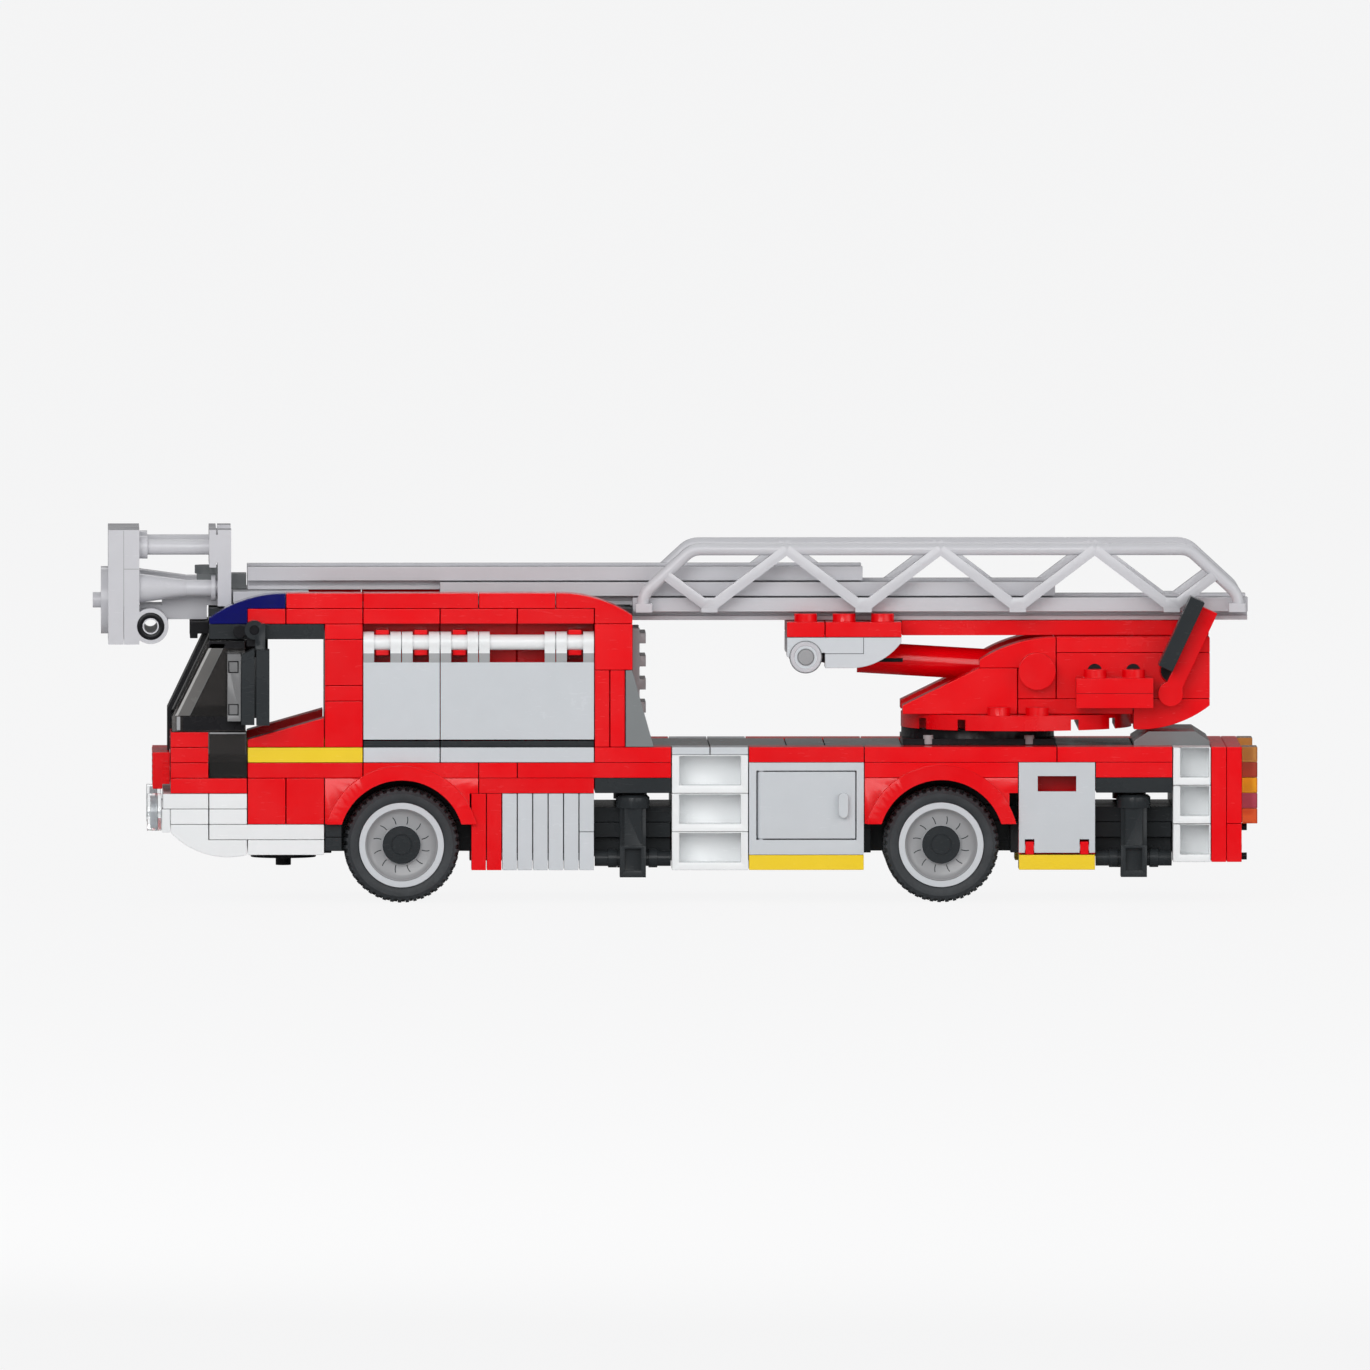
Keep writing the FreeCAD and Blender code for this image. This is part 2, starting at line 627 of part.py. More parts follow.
rung_pitch = 4.8
rung_height = 2.2
rung_front = along(12) + SEAM
rung_rear = rung_front + 2.8
stile_depth = 1.5
ladder_foot = layer(8) + BED
ladder_head = 56.4
access = []
for side in (-1, 1):
    low, high = reach(side, 6.0, 7.8)
    access.append(box((rung_front, low, ladder_foot), (rung_front + stile_depth, high, ladder_head)))
for step in range(5):
    height = 54.3 - step * rung_pitch
    access.append(box((rung_front + 0.7, -7.8, height - rung_height / 2), (rung_rear, 7.8, height + rung_height / 2)))
node(shaped("access_ladder", fuse_all(access)), "access_ladder")

# ---------------------------------------------------------------- sides
SIDE_ROWS = (
    (5, 8, 6, 7, 2, 3),
    (8, 9, 6, 7, 2, 3),
    (9, 13, 6, 7, 2, 3),
    (8, 11, 5, 6, 2, 3),
    (7.8, 8.2, 0, 5, 2, 3),
    (8.2, 8.6, 0, 5, 2, 3),
    (11, 13, 7, 8, 2, 3),
    (15, 18, 7, 8, 2, 3),
    (18, 22, 6, 7, 2, 3),
    (18, 23, 7, 8, 2, 3),
    (23, 26, 7, 8, 2, 3),
    (24, 26, 6, 7, 2, 3),
)
hatch_clip_half = 0.85
hatch_axis_height = layer(1) + 1.4
hatch_axis_across = SIDE - 1.0
hatch_pin = 0.7
side_pieces = bricks(SIDE_ROWS)
HATCH_CLIPS = (22.29, 23.71)
for side_name, side in SIDES:
    for place in HATCH_CLIPS:
        low, high = reach(side, 2.75 * STUD, FACE)
        clip = box((along(place) - hatch_clip_half, low, layer(1) + BED),
                   (along(place) + hatch_clip_half, high, layer(1) + 2.7))
        centre = side * hatch_axis_across
        hole = rod(hatch_pin + GAP, (along(place) - STUD, centre, hatch_axis_height),
                   (along(place) + STUD, centre, hatch_axis_height))
        side_pieces.append(shaped(f"hatch_clip_{side_name}", clip.cut(hole)))
group("side_bricks", side_pieces)

PANEL_ROWS = (
    (5, 7, 7, 8, 2, 3),
    (7, 11, 7, 8, 2, 3),
    (8.6, 9, 0, 5, 2, 3),
    (9, 9.4, 0, 5, 2, 3),
    (9.4, 9.8, 0, 5, 2, 3),
    (9.8, 10.2, 0, 5, 2, 3),
    (10.2, 10.6, 0, 5, 2, 3),
    (10.6, 11, 0, 2.5, 2, 3),
    (10.6, 11, 2.5, 5, 2, 3),
)
group("ribbed_panels", bricks(PANEL_ROWS))

# ---------------------------------------------------------------- flaps over the equipment lockers
flap_axis_across = SIDE - SEAM - 2.3
flap_axis_height = 54.1
flap_ring = 2.25
flap_foot = 34.0
flap_head = 50.0
# name, front, rear and the stretches of bar that a clip holds, all in studs
FLAPS = (
    ("front", 5, 7, ((5.0, 5.3), (5.7, 6.0), (6.0, 6.3), (6.7, 7.0))),
    ("rear", 7, 11, ((7.0, 7.3), (7.7, 8.0), (8.0, 8.3), (9.7, 10.0), (10.0, 10.3), (10.7, 11.0))),
)
bar_pieces = []
clip_foot = 51.4
clip_head = 56.7
clip_half = 0.17 * STUD
cabin_pieces = bricks(CABIN_ROWS)
for side_name, side in SIDES:
    centre = side * flap_axis_across
    bar = rod(BAR_RADIUS, (along(5) + SEAM, centre, flap_axis_height), (along(11) - SEAM, centre, flap_axis_height))
    bar_pieces.append(shaped(f"flap_bar_{side_name}", bar))
    low, high = reach(side, 2 * STUD + BED, flap_axis_across + 0.5)
    for place in (5.5, 6.5, 7.5, 10.5):
        clip = box((along(place) - clip_half, low, clip_foot), (along(place) + clip_half, high, clip_head))
        seat = rod(BAR_RADIUS + GAP, (along(place) - STUD, centre, flap_axis_height),
                   (along(place) + STUD, centre, flap_axis_height))
        cabin_pieces.append(shaped(f"flap_clip_{side_name}", clip.cut(seat)))
group("flap_bars", bar_pieces)
group("cabin_bricks", cabin_pieces)
for side_name, side in SIDES:
    centre = side * flap_axis_across
    for flap_name, front, rear, clips in FLAPS:
        low, high = reach(side, FACE - size("panel_thickness"), FACE)
        neck_low, neck_high = reach(side, FACE - size("panel_thickness"), FACE - 0.3)
        parts = [box((along(front) + SEAM, low, flap_foot), (along(rear) - SEAM, high, flap_head))]
        for clip_start, clip_end in clips:
            start = along(clip_start) + SEAM
            end = along(clip_end) - SEAM
            parts.append(rod(flap_ring, (start, centre, flap_axis_height), (end, centre, flap_axis_height)))
            parts.append(box((start, neck_low, layer(13)), (end, neck_high, flap_axis_height)))
        flap = fuse_all(parts)
        bore = rod(BAR_RADIUS + GAP, (along(front) - 1, centre, flap_axis_height),
                   (along(rear) + 1, centre, flap_axis_height))
        label = f"flap_{flap_name}_{side_name}"
        node(shaped(label, flap.cut(bore)), label)

# ---------------------------------------------------------------- steps, cupboards and their doors
step_frame = 1.6
step_depth = 6.0
step_rise = 2.5 * PLATE
# front, rear, height of the lowest step's foot, thickness of its rear wall
STEPS = (
    (13, 15, layer(0), step_frame),
    (26, 27, layer(0) + 1.6, 0.4),
)
step_pieces = []
for side_name, side in SIDES:
    low, high = reach(side, INNER_FACE, FACE)
    for front, rear, foot, rear_wall in STEPS:
        for count in range(3):
            bottom = foot + count * step_rise
            shell = box((along(front) + SEAM, low, bottom + BED), (along(rear) - SEAM, high, bottom + step_rise - BED))
            recess_low, recess_high = reach(side, FACE - step_depth, FACE + 1)
            recess = box((along(front) + step_frame, recess_low, bottom + step_frame),
                         (along(rear) - rear_wall, recess_high, bottom + step_rise - 0.25))
            step_pieces.append(shaped(f"step_{side_name}", shell.cut(recess)))
    for front, rear in ((13, 14), (14, 15)):
        cap = box((along(front) + SEAM, low, layer(7.5) + BED), (along(rear) - SEAM, high, layer(8) - BED))
        step_pieces.append(shaped(f"step_cap_{side_name}", cap))
group("side_steps", step_pieces)

cupboard_wall = 1.6
hatch_wall = 1.2
door_front = along(15) + cupboard_wall
door_rear = along(18) - cupboard_wall
door_foot = layer(1) + 3.1
door_head = layer(7) - 1.7
door_pin = 0.5
hinge_across = FACE - 0.1 - size("panel_thickness") / 2
hinge_along = door_front + size("door_gap") + size("panel_thickness") / 2
pin_reach = 0.9
frame_pieces = []
for side_name, side in SIDES:
    low, high = reach(side, INNER_FACE, FACE)
    shell = box((along(15) + SEAM, low, layer(1) + BED), (along(18) - SEAM, high, layer(7) - BED))
    inside_low, inside_high = reach(side, INNER_FACE + 0.8, FACE + 1)
    inside = box((door_front, inside_low, door_foot), (door_rear, inside_high, door_head))
    pin_hole = rod(door_pin + GAP, (hinge_along, side * hinge_across, door_foot - pin_reach - 0.1),
                   (hinge_along, side * hinge_across, door_head + pin_reach + 0.1))
    frame_pieces.append(shaped(f"cupboard_{side_name}", shell.cut(inside).cut(pin_hole)))
    lining_low, lining_high = reach(side, INNER_FACE, 2.7 * STUD)
    lining = box((along(22) + SEAM, lining_low, layer(1) + BED), (along(24) - SEAM, lining_high, layer(7) - BED))
    bay_low, bay_high = reach(side, INNER_FACE + hatch_wall, FACE)
    bay = box((along(22) + hatch_wall, bay_low, layer(1) + hatch_wall),
              (along(24) - hatch_wall, bay_high, layer(7) - hatch_wall))
    frame_pieces.append(shaped(f"hatch_lining_{side_name}", lining.cut(bay)))
group("cupboard_frames", frame_pieces)

for side_name, side in SIDES:
    thickness = size("panel_thickness")
    gap = size("door_gap")
    low, high = reach(side, hinge_across - thickness / 2, hinge_across + thickness / 2)
    leaf = box((hinge_along, low, door_foot + gap), (door_rear - gap, high, door_head - gap))
    knuckle = rod(thickness / 2, (hinge_along, side * hinge_across, door_foot + gap),
                  (hinge_along, side * hinge_across, door_head - gap))
    pins = rod(door_pin, (hinge_along, side * hinge_across, door_foot - pin_reach),
               (hinge_along, side * hinge_across, door_head + pin_reach))
    handle_low, handle_high = reach(side, hinge_across, hinge_across + thickness / 2 + 1.4)
    handle_place = door_rear - 0.34 * STUD
    handle_foot = (door_foot + door_head) / 2 - 1.6
    handle_top = handle_foot + 3.2
    handle = fuse_all([
        box((handle_place - 1, handle_low, handle_foot), (handle_place + 1, handle_high, handle_top)),
        rod(1, (handle_place, handle_low, handle_foot), (handle_place, handle_high, handle_foot)),
        rod(1, (handle_place, handle_low, handle_top), (handle_place, handle_high, handle_top)),
    ])
    label = f"cupboard_door_{side_name}"
    node(shaped(label, fuse_all([leaf, knuckle, pins, handle])), label)

slot_head = layer(6.1)
slot_foot = layer(5.1)
for side_name, side in SIDES:
    low, high = reach(side, 2.8 * STUD, FACE)
    leaf = box((along(22) + SEAM, low, hatch_axis_height - 1.0), (along(24) - SEAM, high, layer(7) - BED))
    slot = box((along(22.5), low - 1, slot_foot), (along(23.5), high + 1, slot_head))
    leaf = leaf.cut(slot)
    for place in HATCH_CLIPS:
        notch = box((along(place) - hatch_clip_half - 0.15, low - 1, hatch_axis_height - 2),
                    (along(place) + hatch_clip_half + 0.15, high + 1, hatch_axis_height + 1.8))
        leaf = leaf.cut(notch)
    centre = side * hatch_axis_across
    pins = rod(hatch_pin, (along(22) + SEAM + 0.4, centre, hatch_axis_height),
               (along(24) - SEAM - 0.4, centre, hatch_axis_height))
    label = f"hatch_{side_name}"
    node(shaped(label, fuse_all([leaf, pins])), label)

# ---------------------------------------------------------------- stabilizers
leg_axis_across = SIDE - 4.0
leg_axis_height = size("leg_axis_height")
leg_half = 2.7
leg_ring = 3.8
LEGS = (("front", 12), ("rear", 25))
mount_pieces = []
for side_name, side in SIDES:
    for end_name, place in LEGS:
        centre = side * leg_axis_across
        parts = [rod(BAR_RADIUS, (along(place - 1) + SEAM, centre, leg_axis_height),
                     (along(place + 1) - SEAM, centre, leg_axis_height))]
        for offset in (-4.2, 4.2):
            low, high = reach(side, INNER_FACE, leg_axis_across)
            parts.append(box((along(place) + offset - 0.9, low, leg_axis_height - 1.9),
                             (along(place) + offset + 0.9, high, leg_axis_height + 1.9)))
            parts.append(rod(1.9, (along(place) + offset - 0.9, centre, leg_axis_height),
                             (along(place) + offset + 0.9, centre, leg_axis_height)))
        mount_pieces.append(shaped(f"stabilizer_bar_{end_name}_{side_name}", fuse_all(parts)))
group("stabilizer_bars", mount_pieces)
leg_outer = 2.6
pad_radius = 3.9
pad_foot = 19.6
pad_head = 22.3
pad_edge = 0.5
neck_radius = 2.6


def pad(place, across, radius):
    """A round pad at a stabilizer's end, its edge taken off so that it swings clear of the plate above."""
    column = Part.makeCylinder(radius, pad_head - pad_edge - pad_foot, Vector(place, across, pad_foot))
    crown = Part.makeCone(radius, radius - pad_edge, pad_edge, Vector(place, across, pad_head - pad_edge))
    return column.fuse(crown)


for side_name, side in SIDES:
    for end_name, place in LEGS:
        centre = side * leg_axis_across
        middle = along(place)
        low, high = reach(side, leg_axis_across - 2.2, leg_axis_across + leg_outer - 0.9)
        face_low, face_high = reach(side, leg_axis_across, leg_axis_across + leg_outer)
        foot_low, foot_high = reach(side, leg_axis_across - 2.6, leg_axis_across + 3.3)
        parts = [
            box((middle - leg_half, low, leg_axis_height), (middle + leg_half, high, pad_foot + 0.2)),
            box((middle - 1.75, face_low, leg_axis_height), (middle + 1.75, face_high, pad_foot + 0.2)),
            rod(leg_ring * 0.8, (middle - leg_half, centre, leg_axis_height),
                (middle + leg_half, centre, leg_axis_height)),
            box((middle - leg_half, foot_low, leg_axis_height - leg_ring),
                (middle + leg_half, foot_high, leg_axis_height + 2.8)),
            pad(middle, centre - side * 0.4, pad_radius - 0.4),
            pad(middle, centre + side * 0.6, neck_radius),
        ]
        leg = fuse_all(parts)
        bay_low, bay_high = reach(side, leg_axis_across + 2.1, leg_axis_across + 4)
        leg = leg.cut(box((middle - 1.7, bay_low, leg_axis_height - 2.4), (middle + 1.7, bay_high,
                                                                           leg_axis_height + 2.2)))
        bore = rod(BAR_RADIUS + GAP, (middle - STUD, centre, leg_axis_height),
                   (middle + STUD, centre, leg_axis_height))
        label = f"stabilizer_{end_name}_{side_name}"
        node(shaped(label, leg.cut(bore)), label)

# ---------------------------------------------------------------- deck and tail
TILE_ROWS = (
    (12, 14, 7, 8, -2, 2),
    (14, 16, 7, 8, -2, 2),
    (16, 17, 7, 8, -2, 2),
    (17, 19, 7, 8, -2, 2),
    (19, 23, 7, 8, -2, 2),
    (23, 25, 7, 8, -2, 2),
)
group("deck_tiles", bricks(TILE_ROWS))
console_head = layer(8) + 2.8
console = prism([
    (along(25) + SEAM, layer(7) + BED), (along(27) - SEAM, layer(7) + BED), (along(27) - SEAM, layer(8) + 0.8),
    (along(26.6), console_head), (along(25.4), console_head), (along(25) + SEAM, layer(8) + 0.8),
], -CORE, CORE)
node(shaped("deck_console", console), "deck_console")

tail_foot = 8.4
tail_split = 16.4
tail_pieces = []
# first plate, second plate, foot, head
TAIL_PLATES = (
    (0, tail_foot, layer(8)),
    (1, tail_foot, tail_split),
    (1, tail_split, layer(8)),
)
for order, foot, head in TAIL_PLATES:
    start = along(27) + order * PLATE
    slab = box((start + BED, -FACE, foot + BED), (start + PLATE - BED, FACE, head - BED))
    tail_pieces.append(shaped("tail_plate", slab))
group("tail_plates", tail_pieces)
lamp_pieces = []
for side_name, side in SIDES:
    low, high = reach(side, INNER_FACE, FACE)
    for order in range(5):
        foot = tail_split + order * PLATE
        head = foot + PLATE
        start = along(27) + 2 * PLATE
        lamp_pieces.append(shaped(f"tail_lamp_{side_name}", box((start + BED, low, foot + BED),
                                                               (start + PLATE, high, head - BED))))
group("tail_lamps", lamp_pieces)

# ---------------------------------------------------------------- turntable and turret
slew_along = along(size("slew_axis"))
slew_radius = size("slew_pin") / 2
base_square = box((along(19) + SEAM, -CORE, layer(8) + BED), (along(23) - SEAM, CORE, layer(8.4)))
base_disc = Part.makeCylinder(2 * STUD - SEAM, layer(9) - BED - layer(8.4), Vector(slew_along, 0, layer(8.4)))
slew_bore = Part.makeCylinder(slew_radius + GAP, 4 * PLATE, Vector(slew_along, 0, layer(8.3)))
node(shaped("turntable_base", base_square.fuse(base_disc).removeSplitter().cut(slew_bore)), "turntable_base")

disc_centre = Vector(along(22), 0, layer(9) + BED)
disc_height = PLATE - 2 * BED
turret_disc = Part.makeCylinder(size("turret_radius") * STUD, disc_height, disc_centre)
slew_pin = Part.makeCylinder(slew_radius, PLATE * 0.55, Vector(slew_along, 0, layer(9) + BED - PLATE * 0.5))
TURRET_KNOBS = (21.5, 22.5)
parts = [turret_disc, slew_pin]
for side_name, side in SIDES:
    for place in TURRET_KNOBS:
        parts.append(knob(place, layer(10) - BED, side * 2.5 * STUD))
turret = fuse_all(parts)
# offset from the plate's centre in studs, width, how far in from the rim each slot starts
SLOTS = (
    (-2.46, 1.4, 8.0),
    (-1.47, 1.6, 12.0),
    (1.47, 1.6, 0.0),
    (2.46, 1.2, 0.0),
)
for offset, width, inner in SLOTS:
    for side_name, side in SIDES:
        low, high = reach(side, inner, SIDE + 1)
        start = along(22 + offset) - width / 2
        turret = turret.cut(box((start, low, layer(9) - 1), (start + width, high, layer(9) + 2.3)))
node(shaped("turret_plate", turret), "turret_plate")

wall_in = size("housing_gap")
wall_out = 2 * STUD - SEAM
lift_along = along(size("lift_axis"))
lift_height = size("lift_height")
ram_along = along(size("ram_axis"))
pivot_radius = size("knob_diameter") / 2
wedge_foot = 40.6
wedge = [
    (along(19) + SEAM, layer(10) + BED), (along(22) - SEAM, layer(10) + BED), (along(22) - SEAM, layer(13) - BED),
    (along(21), layer(13) - BED), (along(19) + SEAM, wedge_foot),
]
crest = [
    (along(21) + SEAM, layer(13) + BED), (along(23) - SEAM, layer(13) + BED), (along(23) - SEAM, layer(15) - BED),
    (along(21) + SEAM, 50.1, -1.2),
]
tail_curve = [
    (along(25) + SEAM, layer(9) + BED), (along(27) - SEAM, wedge_foot, -1.5), (along(27) - SEAM, layer(11) - BED),
    (along(25) + SEAM, layer(11) - BED),
]


def wall_block(front, rear, bottom, top):
    """Outline of a plain brick of the turret's walls."""
    return [
        (along(front) + SEAM, layer(bottom) + BED), (along(rear) - SEAM, layer(bottom) + BED),
        (along(rear) - SEAM, layer(top) - BED), (along(front) + SEAM, layer(top) - BED),
    ]


WALL_OUTLINES = (
    wedge,
    crest,
    tail_curve,
    wall_block(22, 25, 10, 11),
    wall_block(22, 23, 11, 13),
    wall_block(23, 27, 11, 14),
    wall_block(23, 27, 14, 15),
)
housing_pieces = []
for side_name, side in SIDES:
    low, high = reach(side, wall_in, wall_out)
    for outline in WALL_OUTLINES:
        wall = prism(outline, low, high)
        for place in (ram_along, lift_along):
            wall = wall.cut(rod(pivot_radius + GAP, (place, low - 1, lift_height), (place, high + 1, lift_height)))
        housing_pieces.append(shaped(f"turret_wall_{side_name}", wall))
for place in (ram_along, lift_along):
    pin = rod(pivot_radius, (place, -wall_out, lift_height), (place, wall_out, lift_height))
    housing_pieces.append(shaped("pivot_pin", pin))
cap_radius = 3.85
cap_reach = 3.3
for side_name, side in SIDES:
    low, high = reach(side, wall_out + BED, wall_out + cap_reach)
    housing_pieces.append(shaped(f"pivot_cap_{side_name}", rod(cap_radius, (ram_along, low, lift_height),
                                                             (ram_along, high, lift_height))))
group("turret_housing", housing_pieces)

# The operator's stand on the left of the turret: a seat, a leaning arm and its dark panel.
stand_in = wall_out + 2 * SEAM
stand_out = SIDE - SEAM
seat_foot = 40.4
seat_head = 46.6
seat_low, seat_high = reach(-1, stand_in, stand_out)
seat = fuse_all([
    box((along(23.5), seat_low, seat_foot), (along(25.5), seat_high, seat_head)),
    knob(24, seat_head, -2.5 * STUD),
    knob(25, seat_head, -2.5 * STUD),
])
arm_foot = Vector(along(25.96), 0, 43.2)
arm_head = Vector(along(26.98), 0, 60.6)
arm_line = (arm_head - arm_foot).normalize()
arm_normal = Vector(-arm_line.z, 0, arm_line.x)


def leaning(start, end, offset, half, low, high):
    """A slab that leans with the operator's arm."""
    spots = []
    for point, turn in ((start, -1), (end, -1), (end, 1), (start, 1)):
        spot = arm_foot + arm_line * point + arm_normal * (offset + turn * half)
        spots.append((spot.x, spot.z))
    return prism(spots, low, high)


arm_length = (arm_head - arm_foot).Length
arm_half = 1.7
arm_low, arm_high = reach(-1, stand_in, stand_in + 4.0)
arm = fuse_all([
    leaning(0, arm_length, 0, arm_half, arm_low, arm_high),
    rod(2.6, (arm_foot.x, arm_low, arm_foot.z), (arm_foot.x, arm_high, arm_foot.z)),
])
panel = leaning(4.4, arm_length + 1.0, arm_half + 1.65, 1.6, *reach(-1, stand_in, stand_out))
panel_clear = arm_half + SEAM
seat = seat.cut(leaning(-6, arm_length, 0, arm_half + 0.4, seat_low - 1, seat_high + 1))
group("operator_stand", [shaped("seat", seat), shaped("stand_arm", arm), shaped("stand_panel", panel)])

# ---------------------------------------------------------------- lift cylinder
eye_along = along(size("eye_axis"))
eye_height = size("eye_height")
ram_foot = Vector(ram_along, 0, lift_height)
ram_eye = Vector(eye_along, 0, eye_height)
ram_line = (ram_eye - ram_foot).normalize()
ram_radius = size("ram_diameter") / 2
ram_mouth = ram_foot + ram_line * size("ram_length")
ram_half = 3.4
rod_tail = ram_foot + ram_line * 7.5
barrel = fuse_all([
    rod(ram_radius, ram_foot + ram_line * 2, ram_mouth),
    rod(pivot_radius + 1.3, (ram_foot.x, -ram_half, ram_foot.z), (ram_foot.x, ram_half, ram_foot.z)),
])
barrel = barrel.cut(rod(BAR_RADIUS + GAP, rod_tail - ram_line * 1.2, ram_mouth + ram_line))
barrel = barrel.cut(rod(pivot_radius + GAP, (ram_foot.x, -STUD, ram_foot.z), (ram_foot.x, STUD, ram_foot.z)))
node(shaped("lift_cylinder", barrel), "lift_cylinder")
eye_ring = 3.0
piston = fuse_all([
    rod(BAR_RADIUS, rod_tail, ram_eye),
    rod(eye_ring, (ram_eye.x, -2.4, ram_eye.z), (ram_eye.x, 2.4, ram_eye.z)),
])
piston = piston.cut(rod(BAR_RADIUS + GAP, (ram_eye.x, -STUD, ram_eye.z), (ram_eye.x, STUD, ram_eye.z)))
node(shaped("lift_rod", piston), "lift_rod")

# ---------------------------------------------------------------- boom
BOOM_ROWS = (
    (16, 17, 15, 16, -2, 2),
    (17, 19, 15, 16, -2, 2),
)
boom_half = size("foot_half")
spine = box((along(19) + SEAM, -boom_half, layer(15) + BED), (along(27) - SEAM, boom_half, layer(16) - BED))
boom_pieces = [shaped("boom_spine", spine)]
KNOB_ROWS = {16: (16.5,), 17: (17.5, 18.5)}
for front, rear, bottom, top, inner, outer in BOOM_ROWS:
    parts = [box((along(front) + SEAM, -CORE, layer(bottom) + BED), (along(rear) - SEAM, CORE, layer(top) - BED))]
    for place in KNOB_ROWS[front]:
        for side in (-1, 1):
            parts.append(knob(place, layer(16) - BED, side * 1.6 * STUD))
    boom_pieces.append(shaped("boom_plate", fuse_all(parts)))
group("boom_plates", boom_pieces)

bracket_pieces = []
ear_in = 3.7
for side_name, side in SIDES:
    low, high = reach(side, STUD + SEAM, CORE)
    body = prism([
        (along(16) + SEAM, layer(15) - BED), (along(16) + SEAM, eye_height), (along(17), layer(14)),
        (along(17), layer(13)), (along(17.7), layer(13)), (along(19) - SEAM, layer(14.7), -1.4),
        (along(19) - SEAM, layer(15) - BED),
    ], low, high)
    ring = rod(3.3, (eye_along, low, eye_height), (eye_along, high, eye_height))
    stub_low, stub_high = reach(side, ear_in, CORE)
    stub = rod(BAR_RADIUS, (eye_along, stub_low, eye_height), (eye_along, stub_high, eye_height))
    bracket_pieces.append(shaped(f"eye_bracket_{side_name}", fuse_all([body, ring, stub])))
lug = prism([
    (along(25) + SEAM, layer(15) - BED), (along(25) + SEAM, lift_height), (along(27) - SEAM, lift_height, -3.8),
    (along(27) - SEAM, layer(15) - BED),
], -boom_half, boom_half)
lug = lug.common(box((along(24), -SIDE, lift_height - 3.9), (along(28), SIDE, layer(15))))
lug = lug.cut(rod(pivot_radius + GAP, (lift_along, -STUD, lift_height), (lift_along, STUD, lift_height)))
bracket_pieces.append(shaped("boom_lug", lug))
group("boom_brackets", bracket_pieces)

# ---------------------------------------------------------------- ladder sections
section_height = size("section_height")
SECTION_PITCH = "(Sizes.section_height - Sizes.lip_rise - Sizes.foot_rise - Sizes.tread_gap)"
LIP = "Sizes.neck_half + Sizes.slide_gap + 0.05"
TROUGH = "Sizes.foot_half + Sizes.slide_gap"


def channel_section(half):
    """A ladder section seen from its end: sliding foot, neck, rails and the lips that hold the next foot."""
    right = (
        ("Sizes.foot_half", "0"),
        ("Sizes.foot_half", "Sizes.foot_rise"),
        ("Sizes.neck_half", "Sizes.foot_rise"),
        ("Sizes.neck_half", "Sizes.rail_start"),
        (f"Sizes.{half}", "Sizes.rail_start"),
        (f"Sizes.{half}", "Sizes.section_height"),
        (LIP, "Sizes.section_height"),
        (LIP, "Sizes.section_height - Sizes.lip_rise"),
        (TROUGH, "Sizes.section_height - Sizes.lip_rise"),
        (TROUGH, f"{SECTION_PITCH} - Sizes.tread_gap"),
    )
    left = tuple((f"-({across})", up) for across, up in reversed(right))
    return right + left


def ladder_section(name, front, foot, half):
    """A section of ladder: a padded channel with a row of openings between its rungs."""
    body = doc.addObject("PartDesign::Body", name)
    outline = bound_sketch(body, f"{name}_outline", "YZ_Plane", channel_section(half))
    channel = body.newObject("PartDesign::Pad", f"{name}_channel")
    channel.Profile = outline
    channel.setExpression("Length", "Sizes.section_length * Sizes.stud - 2 * Sizes.seam")
    opening = bound_sketch(body, f"{name}_opening", "XY_Plane", (
        ("0.2 * Sizes.stud", "-Sizes.neck_half + 1.4"),
        ("0.8 * Sizes.stud", "-Sizes.neck_half + 1.4"),
        ("0.8 * Sizes.stud", "Sizes.neck_half - 1.4"),
        ("0.2 * Sizes.stud", "Sizes.neck_half - 1.4"),
    ))
    window = body.newObject("PartDesign::Pocket", f"{name}_window")
    window.Profile = opening
    window.Type = "ThroughAll"
    window.Midplane = True
    row = body.newObject("PartDesign::LinearPattern", f"{name}_windows")
    row.Originals = [window]
    row.Direction = (opening, ["H_Axis"])
    row.setExpression("Length", "(Sizes.section_length - 1) * Sizes.stud")
    row.Occurrences = int(size("section_length"))
    body.Tip = row
    bind(body, {
        "Placement.Base.x": f"{CAB_FRONT} + {front} * Sizes.stud + Sizes.seam",
        "Placement.Base.z": foot,
    })
    return node(body, name)


BASE_FOOT = "Sizes.floor_height + 16 * Sizes.plate + Sizes.bed"
ladder_section("ladder_base", "Sizes.base_front", BASE_FOOT, "base_half")
ladder_section("ladder_middle", "(Sizes.base_front - Sizes.section_step)", f"{BASE_FOOT} + {SECTION_PITCH}",
               "middle_half")
ladder_section("ladder_fly", "(Sizes.base_front - 2 * Sizes.section_step)", f"{BASE_FOOT} + 2 * {SECTION_PITCH}",
               "fly_half")

base_start = size("base_front")
base_end = base_start + size("section_length")
truss_foot = layer(16) + size("rail_start") + 0.1
truss_head = 74.3
truss_rail = 2.5
truss_bar = 2.1
truss_bend = 4.5


def strut(start, end, width, low, high):
    """A flat bar between two points in side view, each (along in studs, height)."""
    first = Vector(along(start[0]), 0, start[1])
    second = Vector(along(end[0]), 0, end[1])
    line = (second - first).normalize()
    normal = Vector(-line.z, 0, line.x) * (width / 2)
    corners = [first - normal, second - normal, second + normal, first + normal]
    return prism([(corner.x, corner.z) for corner in corners], low, high)


